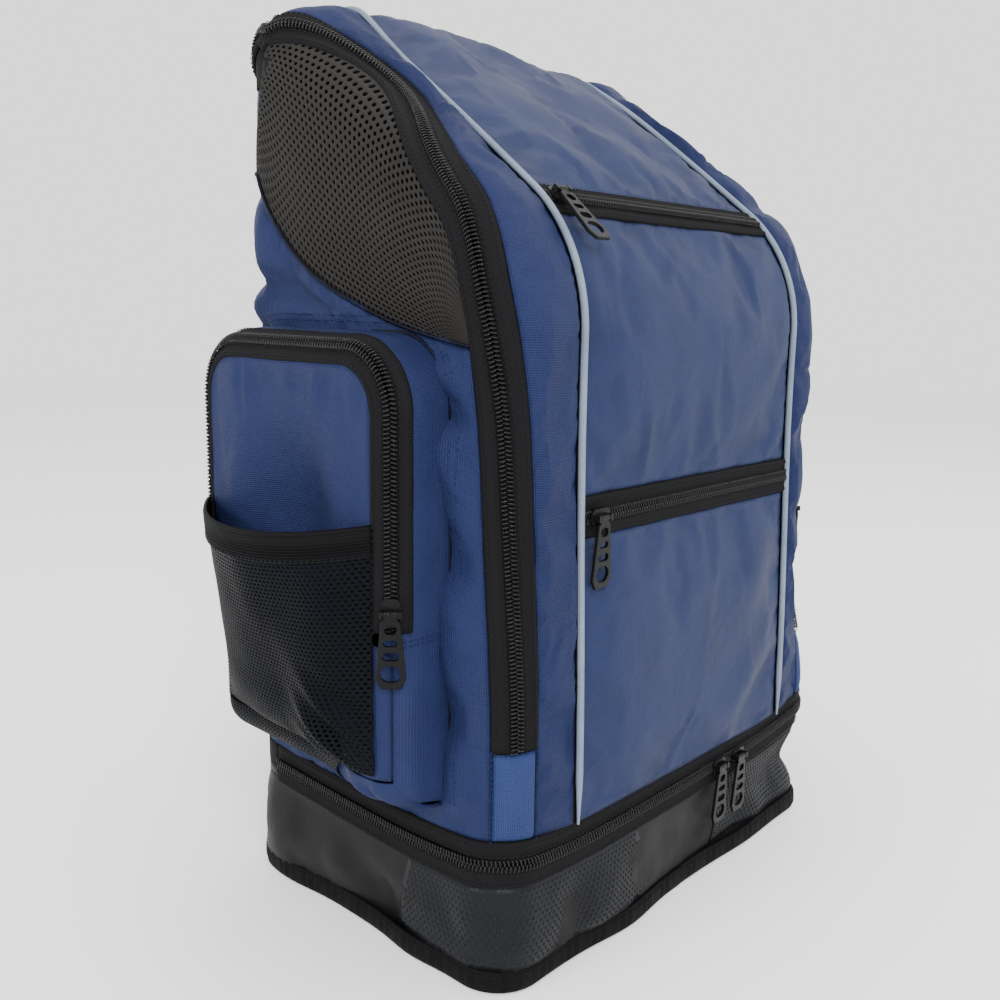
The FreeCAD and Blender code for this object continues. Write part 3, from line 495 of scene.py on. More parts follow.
def simulate(ob, frames, cap, pressure, **settings):
    """Runs cloth on a mesh without gravity and keeps the result, with no point moved further than cap."""
    before = [v.co.copy() for v in ob.data.vertices]
    mod = ob.modifiers.new("cloth", "CLOTH")
    for key, value in settings.items():
        setattr(mod.settings, key, value)
    mod.settings.use_pressure = True
    mod.settings.uniform_pressure_force = pressure
    mod.settings.effector_weights.gravity = 0.0
    mod.collision_settings.use_collision = False
    mod.point_cache.frame_start, mod.point_cache.frame_end = 1, frames
    for f in range(1, frames + 1):
        bpy.context.scene.frame_set(f)
    deps = bpy.context.evaluated_depsgraph_get()
    after = [v.co.copy() for v in ob.evaluated_get(deps).data.vertices]
    ob.modifiers.remove(mod)
    bpy.context.scene.frame_set(1)
    for v, old, new in zip(ob.data.vertices, before, after):
        move = new - old
        v.co = old + (move * (cap / move.length) if move.length > cap else move)


def relax_cloth(ob, grow, pressure, cap, stiffness=12.0):
    """Lets a panel that is pinned along its edges buckle as cloth cut a little too large, then keeps the shape."""
    nu, nv = ob["nu"], ob["nv"]
    rim = [i * nv + j for i in range(nu) for j in range(nv) if i in (0, nu - 1) or j in (0, nv - 1)]
    ob.vertex_groups.new(name="pin").add(rim, 1.0, "REPLACE")
    simulate(ob, 18, cap, pressure, quality=6, mass=0.12, air_damping=2.0, tension_stiffness=stiffness,
             compression_stiffness=stiffness, shear_stiffness=stiffness * 0.5, bending_stiffness=0.4,
             vertex_group_mass="pin", pin_stiffness=1.0, shrink_min=-grow)
    ob.vertex_groups.clear()
    ob.data.update()


def panel(name, s0, s1, t0, t1, material, puff, amp, seed, step=0.0035, extra=None, folds=None):
    """A sewn panel on the skin between arc lengths s0..s1 and t0..t1, crowned between its seams; t0 and t1 are
    functions of s, so that a panel can follow the zip's line."""
    def fn(s, b):
        t = t0(s) + b * (t1(s) - t0(s))
        a = (s - s0) / (s1 - s0)
        lift = puff * min(edge_rise(a, 0.25), edge_rise(b, 0.25))
        hem = min(edge_rise(a, 0.03), edge_rise(b, 0.05))
        p, n = skin(s, t)
        wave = rumple(p, amp, seed=seed)
        if folds:
            wave += folds(s, t)
        wave *= min(edge_rise(a, 0.08), edge_rise(b, 0.10))
        more = extra(s, t) if extra else 0.0
        return p + n * (lift + wave + more - 0.0008 * (1 - hem))
    width = max(abs(t1(s) - t0(s)) for s in (s0, (s0 + s1) / 2, s1))
    ob = grid(name, fn, span(s0, s1, step), span(0.0, 1.0, step / width), material)
    metric_uv(ob)
    face_out(ob)
    return ob


def fixed(t):
    """A panel edge that stays at one t."""
    return lambda s: t


# ------------------------------------------------------------------ zips
def param_path(points):
    """Frames along a zip: each parameter pair, and a sideways step in parameters."""
    frames = []
    for i, (a, b) in enumerate(points):
        p0, p1 = points[max(i - 1, 0)], points[min(i + 1, len(points) - 1)]
        da, db = p1[0] - p0[0], p1[1] - p0[1]
        length = math.hypot(da, db) or 1.0
        frames.append(((a, b), (-db / length, da / length)))
    return frames


def at(frame_, off, out, surface):
    (a, b), (la, lb) = frame_
    return surface(a + la * off, b + lb * off, out)[0]


def tape_half(name, frames, surface, sign, width, body, replaced=()):
    """One tape of a zip, from beside the teeth to under the panel's edge, with a raised fold along it."""
    inner = lift = 0.0006
    profile = [(inner, 0.0002), (0.0016, 0.0008), (0.0032, lift), (width * 0.45, lift), (width * 0.62, lift * 1.1),
               (width * 0.78, lift * 1.8), (width * 0.9, lift * 2.1), (width, lift * 1.5), (width + 0.0012, -0.0006)]
    points = [at(f, 0.0, 0.0, surface) for f in frames]
    run = along(points)
    verts, uvs = [], []
    for i, f in enumerate(frames):
        wave = 0.0004 * fbm(points[i], 40.0, sign * 3.0)
        for off, out in profile:
            verts.append(at(f, sign * off, out + wave, surface))
            uvs.append((run[i], off))
    ob = new_object(name, verts, sheet_faces(len(frames), len(profile)), MAT["tape"], uvs)
    face_out(ob)
    solidify(ob, 0.0007)
    place(ob, body, replaced)


def resample(points, step):
    """Evenly spaced (index, fraction) places along a run of 3-D points."""
    run = along(points)
    total = run[-1]
    n = max(2, int(total / step))
    out, k = [], 0
    for i in range(n + 1):
        d = total * i / n
        while k < len(run) - 2 and run[k + 1] < d:
            k += 1
        seg = run[k + 1] - run[k] or 1.0
        out.append((k, (d - run[k]) / seg))
    return out


def coil(name, frames, surface, sign, body, phase):
    """One row of spiral teeth: a helix of nylon wire along the zip."""
    pitch, wide, high, wire, per_turn, ring_n = 0.0021, 0.0017, 0.0012, 0.00052, 8, 5

    def axis(low, high_):
        """Unit steps between two (sideways, outward) places at each frame."""
        return [(at(f, sign * high_[0], high_[1], surface) - at(f, sign * low[0], low[1], surface)).normalized()
                for f in frames]
    mids = [at(f, sign * 0.0015, 0.0014, surface) for f in frames]
    sides = axis((0.0005, 0.0014), (0.0025, 0.0014))
    ups = axis((0.0015, 0.0004), (0.0015, 0.0024))
    centres = []
    for i, (k, f) in enumerate(resample(mids, pitch / per_turn)):
        ang = 2 * math.pi * i / per_turn + phase
        mid, side, up = [line[k].lerp(line[k + 1], f) for line in (mids, sides, ups)]
        centres.append((mid + side * wide * math.cos(ang) + up * high * math.sin(ang), side, up))
    verts = []
    for i, (c, side, up) in enumerate(centres):
        tangent = (centres[min(i + 1, len(centres) - 1)][0] - centres[max(i - 1, 0)][0]).normalized()
        e1 = tangent.cross(up)
        if e1.length < 1e-4:
            e1 = tangent.cross(side)
        e1.normalize()
        e2 = tangent.cross(e1)
        verts += [c + (e1 * math.cos(a) + e2 * math.sin(a)) * wire for a in turns(ring_n)]
    place(new_object(name, verts, tube_faces(len(centres), ring_n, 1), MAT["coil"]), body)


STITCH, STITCH_PITCH, THREAD = 0.0024, 0.0032, 0.00028       # length, spacing, radius


def dashes(name, line, body, material):
    """A row of stitches along a line of (point, normal), lying on the cloth."""
    points, normals = zip(*line)
    verts, faces = [], []
    for k, f in resample(points, STITCH_PITCH):
        c = points[k].lerp(points[k + 1], f)
        d = (points[k + 1] - points[k]).normalized()
        up = normals[k].lerp(normals[k + 1], f).normalized()
        side = d.cross(up)
        base = len(verts)
        verts.append(c - d * STITCH / 2 - up * THREAD)
        for part in (-0.3, 0.3):
            m = c + d * STITCH * part
            verts += [m + up * THREAD, m + side * THREAD, m - up * THREAD, m - side * THREAD]
        verts.append(c + d * STITCH / 2 - up * THREAD)
        for r in range(4):
            q = (r + 1) % 4
            faces += [(base, base + 1 + q, base + 1 + r), (base + 1 + r, base + 1 + q, base + 5 + q, base + 5 + r),
                      (base + 9, base + 5 + r, base + 5 + q)]
    place(new_object(name, verts, faces, material), body)


def full_zip(name, path, surface, half, left_body, right_body, replaced_left=(), replaced_right=()):
    """Both tapes, both rows of teeth and the stitching of one zip; left_body carries the negative side."""
    frames = param_path(path)
    for sign, tag, body, gone in ((-1, "a", left_body, replaced_left), (1, "b", right_body, replaced_right)):
        tape_half("%s_tape_%s" % (name, tag), frames, surface, sign, half, body, gone)
        coil("%s_teeth_%s" % (name, tag), frames, surface, sign, body, math.pi * (sign > 0))
        for i, part in enumerate((0.40, 0.84)):
            line = []
            for f in frames:
                p, above = [at(f, sign * half * part, out, surface) for out in (0.0017, 0.0037)]
                line.append((p, (above - p).normalized()))
            dashes("%s_stitch_%s_%d" % (name, tag, i), line, body, MAT["thread"])


def main_zip_path():
    """From the left foot up the rounded edge, over the top, across the back and down the right side."""
    turn, s_back = ZIP_TURN, back_s(BACK_ZIP_Z)
    left = [(s, -zip_t(s)) for s in span(FOOT_Z, s_back - turn, ROW)]
    arc = [(s_back - turn + turn * math.sin(a), -ZIP_T + turn * (1 - math.cos(a)))
           for a in [math.pi / 2 * i / 8 for i in range(1, 9)]]
    across = [(s_back, t) for t in span(-ZIP_T + turn, ZIP_T - turn, ROW)][1:]
    arc_r = [(s, -t) for s, t in reversed(arc)][1:]
    right = [(s, -t) for s, t in reversed(left)]
    return left + arc + across + arc_r + right


# ------------------------------------------------------------------ flap and upper pack
UP_ZIP_S = S1 + 0.90 * (S2 - S1)
FLAP_TOP_S = back_s(BACK_ZIP_Z) - TAPE_HALF
BASE_TOP = BASE_ZIP_Z + TAPE_HALF
REAR_T = ZIP_T + TAPE_HALF


def fill(s, t):
    """Broad shape of the filled flap, for panels, zips and piping alike: a belly in each pocket and a crest that
    slumps towards the right."""
    crest = hump(s, S3 + 0.010, 0.035) * (0.0048 - 0.0075 * smooth(t, -0.09, 0.09))
    belly = 0.0024 * math.sin(s * 14.0 + 0.4)
    return (crest + belly) * (1 - smooth(abs(t), 0.106, 0.140))


def strip_fill(s, t):
    """The corner strips stand out beside the piping, most where the slope begins."""
    side = 1.0 if t > 0 else 0.45
    b = (abs(t) - STRIP_IN) / max(zip_t(s) - TAPE_HALF - STRIP_IN, 0.004)
    crown = math.sin(math.pi * min(max(b, 0.0), 1.0))
    bulge = 0.0070 * hump(s, 0.500, 0.070) + 0.0025 * hump(s, 0.30, 0.09)
    return fill(s, t) + side * bulge * crown


def slope_folds(s, t):
    """Long slack folds that run diagonally over the sloping top."""
    reach = smooth(s, S2 - 0.01, S2 + 0.05) * (1 - smooth(s, S4 - 0.05, S4))
    line = math.sin((s * 0.9 + t * 1.3) * 62.0 + 2.4 * noise.noise(Vector((t * 9, s * 7, 2.0))))
    return 0.0016 * reach * (line - 0.3) * hump(t, 0.02, 0.09)


def pocket_folds(s, t):
    """Faint pulls from the right-hand corners of the pockets and along the foot of the flap."""
    corner = hump(t, 0.075, 0.045)
    pull = math.sin((s * 1.1 - t * 0.9) * 95.0 + 2.0 * noise.noise(Vector((t * 12, s * 9, 5.0))))
    foot = hump(s, BASE_TOP + 0.012, 0.022) * math.sin(t * 70.0 + 2.0 * noise.noise(Vector((t * 20, s * 4, 8.0))))
    return 0.0008 * corner * pull + 0.0011 * foot


def strip_folds(s, t):
    """Short creases across the corner strips."""
    wave = math.sin(s * 120.0 + t * 45.0 + 3.0 * noise.noise(Vector((s * 16, t * 20, 1.0))))
    return 0.0009 * wave * smooth(noise.noise(Vector((s * 10, t * 6, 4.0))), -0.1, 0.35)


def build_flap():
    left, right = fixed(-POCKET_X), fixed(POCKET_X)
    # The pocket panels take the lightened front copy of the navy, whose colour carries painted light and sheen.
    low = panel("lower_pocket_cloth", BASE_TOP, LOW_ZIP_S - SMALL_TAPE_HALF, left, right, MAT["navy_front"],
                0.0026, 0.0014, 1.0, extra=fill, folds=pocket_folds)
    up = panel("upper_pocket_cloth", LOW_ZIP_S + SMALL_TAPE_HALF, UP_ZIP_S - SMALL_TAPE_HALF, left, right,
               MAT["navy_front"], 0.0026, 0.0014, 2.0, extra=fill, folds=pocket_folds)
    top = panel("top_cloth", UP_ZIP_S + SMALL_TAPE_HALF, FLAP_TOP_S, left, right, MAT["navy_front"],
                0.0024, 0.0020, 3.0, extra=fill, folds=slope_folds)
    relax_cloth(low, 0.012, 0.5, 0.004)
    relax_cloth(up, 0.014, 0.5, 0.004)
    relax_cloth(top, 0.016, 0.4, 0.004)
    for ob in (low, up, top):
        solidify(ob, PANEL_CLOTH)
    place(up, "flap", ["upper_pocket_panel"])
    place(top, "flap", ["top_panel"])
    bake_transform(low)
    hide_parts("lower_pocket_panel")
    for side, sign in SIDES:
        build_strip(side, sign)
        build_foot_patch(side, sign)
        build_piping(side, sign)
        build_piping_seam(side, sign)


def build_strip(side, sign):
    """The corner strip between piping and main zip, from the base zip up and over to the back."""
    inner, outer = fixed(sign * STRIP_IN), lambda s: sign * (zip_t(s) - TAPE_HALF)
    t0, t1 = (outer, inner) if sign < 0 else (inner, outer)
    strip = panel("corner_strip_" + side, BASE_TOP, FLAP_TOP_S, t0, t1, MAT["navy"], 0.0016, 0.0026, 4.0 + sign,
                  extra=strip_fill, folds=strip_folds)
    relax_cloth(strip, 0.014, 0.4, 0.003)
    solidify(strip, PANEL_CLOTH)
    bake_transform(strip)
    if sign < 0:
        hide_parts("flap_corner_strips")


def build_foot_patch(side, sign):
    """The sewn-on patch of lighter cloth below the lower end of the main zip."""
    near, far = lambda s: sign * (zip_t(s) - TAPE_HALF), lambda s: sign * (zip_t(s) + TAPE_HALF)
    t0, t1 = (far, near) if sign < 0 else (near, far)
    patch = panel("zip_foot_patch_" + side, BASE_TOP, FOOT_Z - 0.001, t0, t1, MAT["patch"], 0.0014, 0.0010, 9.0,
                  step=0.002)
    solidify(patch, PANEL_CLOTH)
    place(patch, "pack", ["lower_front_wall"] if sign < 0 else ())
    for i, edge in enumerate((near, far)):
        line = [skin(s, edge(s), 0.0010) for s in span(BASE_TOP, FOOT_Z, ROW)]
        dashes("foot_patch_stitch_%s_%d" % (side, i), line, "pack", MAT["thread_navy"])


def build_piping(side, sign):
    """Reflective cord in its folded tape along each edge of the pockets."""
    stations, ring_n, t = span(BASE_TOP, FLAP_TOP_S - 0.004, ROW), 8, sign * PIPING_T
    verts = []
    for i, s in enumerate(stations):
        p, n = skin(s, t, 0.0012 + fill(s, t))
        taper = min(1.0, 0.35 + i / 10.0)
        verts += [p + Vector((0.0021 * taper * math.cos(a), 0, 0)) + n * 0.0019 * taper * math.sin(a)
                  for a in turns(ring_n)]
    ob = new_object("piping_" + side, verts, tube_faces(len(stations), ring_n, 1), MAT["piping"])
    face_out(ob, Vector((t, 0, 0.25)))
    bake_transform(ob)
    if sign < 0:
        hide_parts("flap_piping", "lower_piping")


def build_piping_seam(side, sign):
    """The bound seam inside the flap, behind the piping."""
    def fn(s, b):
        t = sign * (PIPING_T - 0.0055 + 0.011 * b)
        return skin(s, t, -0.0019 + fill(s, t) - 0.0006 * math.sin(math.pi * b))[0]
    ob = sheet("piping_seam_" + side, fn, span(BASE_TOP, FLAP_TOP_S, ROW), span(0.0, 1.0, 0.2), MAT["tape"], FACING,
               metric=False)
    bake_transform(ob)


def build_front_zips():
    def surface(a, b, out):
        return skin(a, b, out + fill(a, b))
    for name, s, gone in (("lower_pocket_zip", LOW_ZIP_S, ["front_pocket_zips"]), ("upper_pocket_zip", UP_ZIP_S, ())):
        path = [(s, t) for t in span(-POCKET_X, POCKET_X, ROW)]
        full_zip(name, path, surface, SMALL_TAPE_HALF, "flap", "flap", gone)


def build_main_zip():
    full_zip("main_zip", main_zip_path(), skin, TAPE_HALF, "pack", "flap",
             ["main_zip_rear_half"], ["main_zip_flap_half"])


# ------------------------------------------------------------------ side panels
WINDOW = [(-0.120, 0.322), (-0.045, 0.333), (0.000, 0.345), (0.045, 0.364), (0.078, 0.392), (0.095, 0.418)]


def window_z(y):
    """Height of the mesh window's lower edge: a smooth curve through a few points (y, z)."""
    pts = [(a + BACK_SHIFT, z) for a, z in WINDOW]
    if y <= pts[0][0]:
        return pts[0][1]
    for i in range(len(pts) - 1):
        (y0, z0), (y1, z1) = pts[i], pts[i + 1]
        if y <= y1:
            f = (y - y0) / (y1 - y0)
            m0 = (z1 - pts[i - 1][1]) / (y1 - pts[i - 1][0]) if i > 0 else (z1 - z0) / (y1 - y0)
            m1 = (pts[i + 2][1] - z0) / (pts[i + 2][0] - y0) if i + 2 < len(pts) else (z1 - z0) / (y1 - y0)
            h = y1 - y0
            a = 2 * f ** 3 - 3 * f ** 2 + 1
            b = f ** 3 - 2 * f ** 2 + f
            return a * z0 + b * h * m0 + (-2 * f ** 3 + 3 * f ** 2) * z1 + (f ** 3 - f ** 2) * h * m1
    return pts[-1][1]


TAPE_INSET = R_EDGE * (1 - math.cos(math.pi / 4 + TAPE_HALF / R_EDGE))
ARC_TO_SIDE = SIDE_T - REAR_T
SIDE_FLAT = (BACK - R_EDGE) - (FRONT + R_EDGE)
SIDE_RUN = ARC_TO_SIDE + SIDE_FLAT + R_EDGE * math.pi / 2


def around_side(side, h, z, out=0.0):
    """Point and normal on the side at height z, h from the zip tape round to the back face."""
    if h < ARC_TO_SIDE:
        th = math.pi / 2 - (ARC_TO_SIDE - h) / R_EDGE
        c = (HALF - R_EDGE, FRONT + R_EDGE)
        n = (math.sin(th), -math.cos(th))
    elif h < ARC_TO_SIDE + SIDE_FLAT:
        y = FRONT + R_EDGE + h - ARC_TO_SIDE
        return Vector((side * (HALF + out), y, z)), Vector((side, 0, 0))
    else:
        th = min((h - ARC_TO_SIDE - SIDE_FLAT) / R_EDGE, math.pi / 2)
        c = (HALF - R_EDGE, BACK - R_EDGE)
        n = (math.cos(th), math.sin(th))
    r = R_EDGE + out
    return Vector((side * (c[0] + r * n[0]), c[1] + r * n[1], z)), Vector((side * n[0], n[1], 0))


def side_sag(side, y, z):
    """The side is pulled in above the pouch and bulges between pouch and zip, with folds fanning from the pouch."""
    fan = 0.0
    yc, zc = 0.010 + BACK_SHIFT, 0.335
    ang = math.atan2(z - zc, y - yc)
    dist = math.hypot(z - zc, y - yc)
    reach = hump(dist, 0.075, 0.055)
    if z > 0.10:
        wave = math.sin(ang * 15.0 + 2.4 * noise.noise(Vector((y * 26, z * 26, side))))
        fan = 0.0036 * (abs(wave) ** 0.7 * math.copysign(1.0, wave) - 0.3) * reach
    wave = math.sin(z * 75.0 + 3.0 * noise.noise(Vector((3.1, z * 14, side))))
    vertical = 0.0028 * hump(y, FRONT + 0.036, 0.014) * wave
    return fan + vertical + 0.002 * math.sin(z * 11.0 + side)


SIDE_CLOTH = {}


def beside_pouch(y, z):
    """Distance outside the pouch's outline, negative under the pouch."""
    return max(-pouch_inset(y, z), P_Z0 - z)


def on_side(sign, y, z, out):
    """Point lying on the finished side cloth."""
    hit = SIDE_CLOTH[sign].ray_cast(Vector((sign * (HALF + 0.03), y, z)), Vector((-sign, 0, 0)))[0]
    return (hit if hit is not None else Vector((sign * HALF, y, z))) + Vector((sign * out, 0, 0))


def build_sides():
    for side, sign in SIDES:
        def lower(a, b, sign=sign):
            h = a * SIDE_RUN
            p, n = around_side(sign, h, 0.2)
            z = BASE_TOP + b * (window_z(p.y) - BASE_TOP)
            h += zip_shift(z) * (1 - a) ** 2
            p, n = around_side(sign, h, z)
            z = BASE_TOP + b * (window_z(p.y) - BASE_TOP)
            p.z = z
            soft = min(edge_rise(a, 0.08), edge_rise(b, 0.06))
            out = (side_sag(sign, p.y, z) + rumple(p, 0.0038, 17.0, (1.2, 1.3, 0.5), 20.0 + sign)) * soft
            if out < 0:
                out *= smooth(beside_pouch(p.y, z), 0.004, 0.020)
            return p + n * (out - 0.0006 * (1 - min(edge_rise(a, 0.02), edge_rise(b, 0.015))))
        ob = grid("side_cloth_" + side, lower, span(0.0, 1.0, 0.016), span(0.0, 1.0, 0.0105), MAT["navy"])
        metric_uv(ob)
        face_out(ob)
        relax_cloth(ob, 0.012, 0.3, 0.005)
        for v in ob.data.vertices:
            if abs(beside_pouch(v.co.y, v.co.z) - 0.002) < 0.006:
                v.co.x = sign * max(abs(v.co.x), HALF)
        SIDE_CLOTH[sign] = BVHTree.FromObject(ob, bpy.context.evaluated_depsgraph_get())
        solidify(ob, PANEL_CLOTH)
        place(ob, "pack", ["side_panel_" + side])
        build_window(side, sign)


def window_rim(sign):
    """The window's edge along the main zip, from its front corner over the top and down to the back."""
    return [skin(s, sign * (REAR_T + zip_shift(s)))[0]
            for s in span(window_z(FRONT + TAPE_INSET), back_s(BACK_ZIP_Z) - 0.002, ROW)]


def window_surface(sign):
    """Maps (a, b): a from front to back along the lower edge, b from the lower edge up to the zip tape."""
    rim = window_rim(sign)
    run = along(rim)
    total = run[-1]
    y0, y1 = rim[0].y, BACK - TAPE_INSET * 0.6

    def rim_at(f):
        d = f * total
        k = 0
        while k < len(run) - 2 and run[k + 1] < d:
            k += 1
        return rim[k].lerp(rim[k + 1], (d - run[k]) / (run[k + 1] - run[k]))

    def fn(a, b, out=0.0):
        y = y0 + (y1 - y0) * a
        z = window_z(y)
        top = rim_at(min(1.0, a ** 0.92 * 0.93))
        yy = y + (top.y - y) * b
        zz = z + (top.z - z) * b
        lift = 0.004 * math.sin(math.pi * min(max(a, 0), 1)) * math.sin(math.pi * min(max(b, 0), 1))
        return side_point(sign, yy, zz, out) + Vector((sign * lift, 0, 0))
    return fn


def net(name, fn, size_u, size_v, pitch_u, pitch_v, hole, material, thickness):
    """A knitted mesh: staggered oval holes in a sheet fn(a, b), with size_u by size_v its rough size."""
    nu, nv = max(4, int(size_u / pitch_u)), max(4, int(size_v / pitch_v))
    index, verts, faces = {}, [], []

    def vert(i2, j2):
        """Corner shared by neighbouring cells, counted in half cells."""
        if (i2, j2) not in index:
            index[i2, j2] = len(verts)
            verts.append(fn(min(max(i2 / (2.0 * nu), 0.0), 1.0), min(max(j2 / (2.0 * nv), 0.0), 1.0)))
        return index[i2, j2]

    for j in range(nv):
        for i in range(-1, nu):
            centre = 2 * i + 1 + j % 2
            lo, hi = max(centre - 1, 0), min(centre + 1, 2 * nu)
            if hi - lo < 1:
                continue
            whole = hi - lo == 2
            mid_top, mid_low = ((lo + hi) // 2,) * 2 if whole else (hi, lo)
            row = 2 * j
            ring = [vert(hi, row + 1), vert(hi, row + 2), vert(mid_top, row + 2), vert(lo, row + 2),
                    vert(lo, row + 1), vert(lo, row), vert(mid_low, row), vert(hi, row)]
            if not whole:
                faces.append(tuple(dict.fromkeys(ring)))
                continue
            ca, cb = centre / (2.0 * nu), (row + 1) / (2.0 * nv)
            first = len(verts)
            verts += [fn(ca + hole / nu * math.cos(a) * 0.5, cb + hole / nv * math.sin(a) * 0.5) for a in turns(8)]
            faces += [(ring[k], ring[m], first + m, first + k) for k in range(8) for m in [(k + 1) % 8]]
    ob = new_object(name, verts, faces, material)
    face_out(ob)
    solidify(ob, thickness)
    return ob


def build_window(side, sign):
    fn = window_surface(sign)
    back = grid("window_backing_" + side, lambda a, b: fn(a, b, -0.0016), span(0, 1, 0.03), span(0, 1, 0.04),
                MAT["behind"])
    face_out(back)
    place(back, "pack")
    ob = net("window_mesh_" + side, fn, 0.200, 0.105, 0.0042, 0.0034, 0.62, MAT["mesh"], 0.0011)
    place(ob, "pack", ["side_mesh_" + side])
    edge_binding("window_seam_" + side, [fn(a, 0.0, 0.0006) for a in span(0, 1, 0.02)], sign)


def edge_binding(name, points, sign, radius=0.0011):
    """A thin rolled seam along a line on the side."""
    ring_n, verts = 6, []
    for i, p in enumerate(points):
        d = (points[min(i + 1, len(points) - 1)] - points[max(i - 1, 0)]).normalized()
        e2 = d.cross(Vector((sign, 0, 0))).normalized()
        e1 = e2.cross(d)
        verts += [p + e1 * radius * 0.7 * math.cos(a) + e2 * radius * math.sin(a) for a in turns(ring_n)]
    place(new_object(name, verts, tube_faces(len(points), ring_n), MAT["navy"]), "pack")


# ------------------------------------------------------------------ base
BASE_LOOP = 2 * (2 * (HALF - R_EDGE)) + 2 * SIDE_FLAT + 2 * math.pi * R_EDGE
REAR_U = HALF - R_EDGE + R_EDGE * math.pi / 2 + (0.084 + BACK_SHIFT - (FRONT + R_EDGE))      # the base zip's ends


def ring_point(u, z, out=0.0):
    """Point and normal on the base's upright wall; u runs round it from the middle of the front towards +X."""
    flat_x, flat_y, quarter = HALF - R_EDGE, SIDE_FLAT, R_EDGE * math.pi / 2
    u = u % BASE_LOOP
    pieces = [(flat_x, "front"), (quarter, "fr"), (flat_y, "right"), (quarter, "br"), (2 * flat_x, "back"),
              (quarter, "bl"), (flat_y, "left"), (quarter, "fl"), (flat_x, "front2")]
    for length, tag in pieces:
        if u <= length:
            break
        u -= length
    y0, y1 = FRONT + R_EDGE, BACK - R_EDGE
    arcs = {"fr": (flat_x, y0, -math.pi / 2), "br": (flat_x, y1, 0.0), "bl": (-flat_x, y1, math.pi / 2),
            "fl": (-flat_x, y0, math.pi)}
    if tag in arcs:
        cx, cy, start = arcs[tag]
        a = start + u / R_EDGE
        n = Vector((math.cos(a), math.sin(a), 0))
        p = Vector((cx, cy, z)) + n * R_EDGE
    elif tag == "front":
        n, p = Vector((0, -1, 0)), Vector((u, FRONT, z))
    elif tag == "front2":
        n, p = Vector((0, -1, 0)), Vector((-flat_x + u, FRONT, z))
    elif tag == "right":
        n, p = Vector((1, 0, 0)), Vector((HALF, y0 + u, z))
    elif tag == "left":
        n, p = Vector((-1, 0, 0)), Vector((-HALF, y1 - u, z))
    else:
        n, p = Vector((0, 1, 0)), Vector((flat_x - u, BACK, z))
    return p + n * out, n


def base_dent(u, z):
    """Slack of the base wall: broad dents between floor and zip, with creases here and there."""
    p = ring_point(u, z)[0]
    mid = math.sin(math.pi * min(max(z / 0.056, 0.0), 1.0))
    dent = fbm((p.x, p.y, p.z * 0.7), 10.0, 31.0) * 0.0078 + fbm((p.x, p.y, p.z), 26.0, 12.0) * 0.0022
    crease = math.sin(u * 95.0 + z * 60.0 + 4.0 * noise.noise(Vector((u * 9, z * 12, 2.5))))
    dent += 0.0012 * crease * smooth(noise.noise(Vector((u * 7, z * 5, 9.0))), -0.05, 0.3)
    return dent * mid


def build_base():
    def wall(u, z, slack=1.0):
        p, n = ring_point(u, z)
        return p + n * (base_dent(u, z) * slack + 0.0004)
    top = BASE_ZIP_Z - TAPE_HALF + 0.006
    ob = sheet("base_cloth", wall, span(0.0, BASE_LOOP, ROW)[:-1], span(0.002, top, 0.0035), MAT["tarp"], BASE_CLOTH,
               metric=False, close_u=True)
    place(ob, "base", ["base_wall"])
    back = sheet("base_rear_cloth", lambda u, z: wall(u, z, 0.5), span(REAR_U, BASE_LOOP - REAR_U, ROW),
                 span(top - 0.001, BASE_ZIP_Z - 0.0006, 0.003), MAT["tarp"], BASE_CLOTH, metric=False)
    place(back, "base")
    build_binding()
    build_base_zip()
    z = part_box("divider_floor")[1][2] - 0.0008
    ring = [ring_point(u, z, -0.0030)[0] for u in span(0.0, BASE_LOOP, 0.005)]
    tube("divider_binding", ring, 0.0036, 0.0022, "pack", MAT["binding"], up=TO_TOP)
    for side, sign in SIDES:
        build_patch(side, sign)


def build_binding():
    """Folded tape round the floor edge: a rounded ribbed band with a slightly wavy top."""
    profile = [(0.0000, 0.0004), (0.0006, 0.0016), (0.0030, 0.0021), (0.0060, 0.0023), (0.0090, 0.0021),
               (0.0112, 0.0017), (0.0120, 0.0006)]
    verts, uvs = [], []
    us = span(0.0, BASE_LOOP, 0.003)[:-1]
    for u in us:
        for z, out in profile:
            zz = z + (0.0 if z < 0.001 else 0.0012 * noise.noise(Vector((u * 25, 0.3, 0))))
            p, nr = ring_point(u, zz)
            ripple = 0.0005 * math.sin(u * 900.0) if 0.001 < z < 0.0115 else 0.0
            verts.append(p + nr * (out + ripple + 0.0008 * noise.noise(Vector((u * 18, 4.0, 0)))))
            uvs.append((u, z))
    ob = new_object("base_binding_tape", verts, sheet_faces(len(us), len(profile), True), MAT["binding"], uvs)
    face_out(ob, Vector((0, 0, 0.006)))
    solidify(ob, 0.0012)
    place(ob, "base", ["base_binding"])
    dashes("base_binding_stitch", [ring_point(u, 0.0094, 0.0024) for u in us], "base",
           MAT["thread"])


def base_surface(a, b, out):
    """Point and normal on the base zip: a is its height above the centre line, b runs round the base."""
    p, n = ring_point(b, BASE_ZIP_Z + a)
    return p + n * out, n


def build_base_zip():
    path = [(0.0018 * math.sin(u * 9.0) + 0.002 * (abs(u) / 0.3), u) for u in span(-REAR_U, REAR_U, ROW)]
    full_zip("base_zip", path, base_surface, TAPE_HALF, "base", "pack",
             ["base_zip_lower_half"], ["base_zip_upper_half"])


def patch_edge(z):
    """Where the raised-dot patch ends on the front, slanting, and on the side, as lengths round the base."""
    front = 0.034 + 0.30 * (z - 0.012)
    side = HALF - R_EDGE + R_EDGE * math.pi / 2 + 0.052 - 0.25 * (z - 0.012)
    return front, side


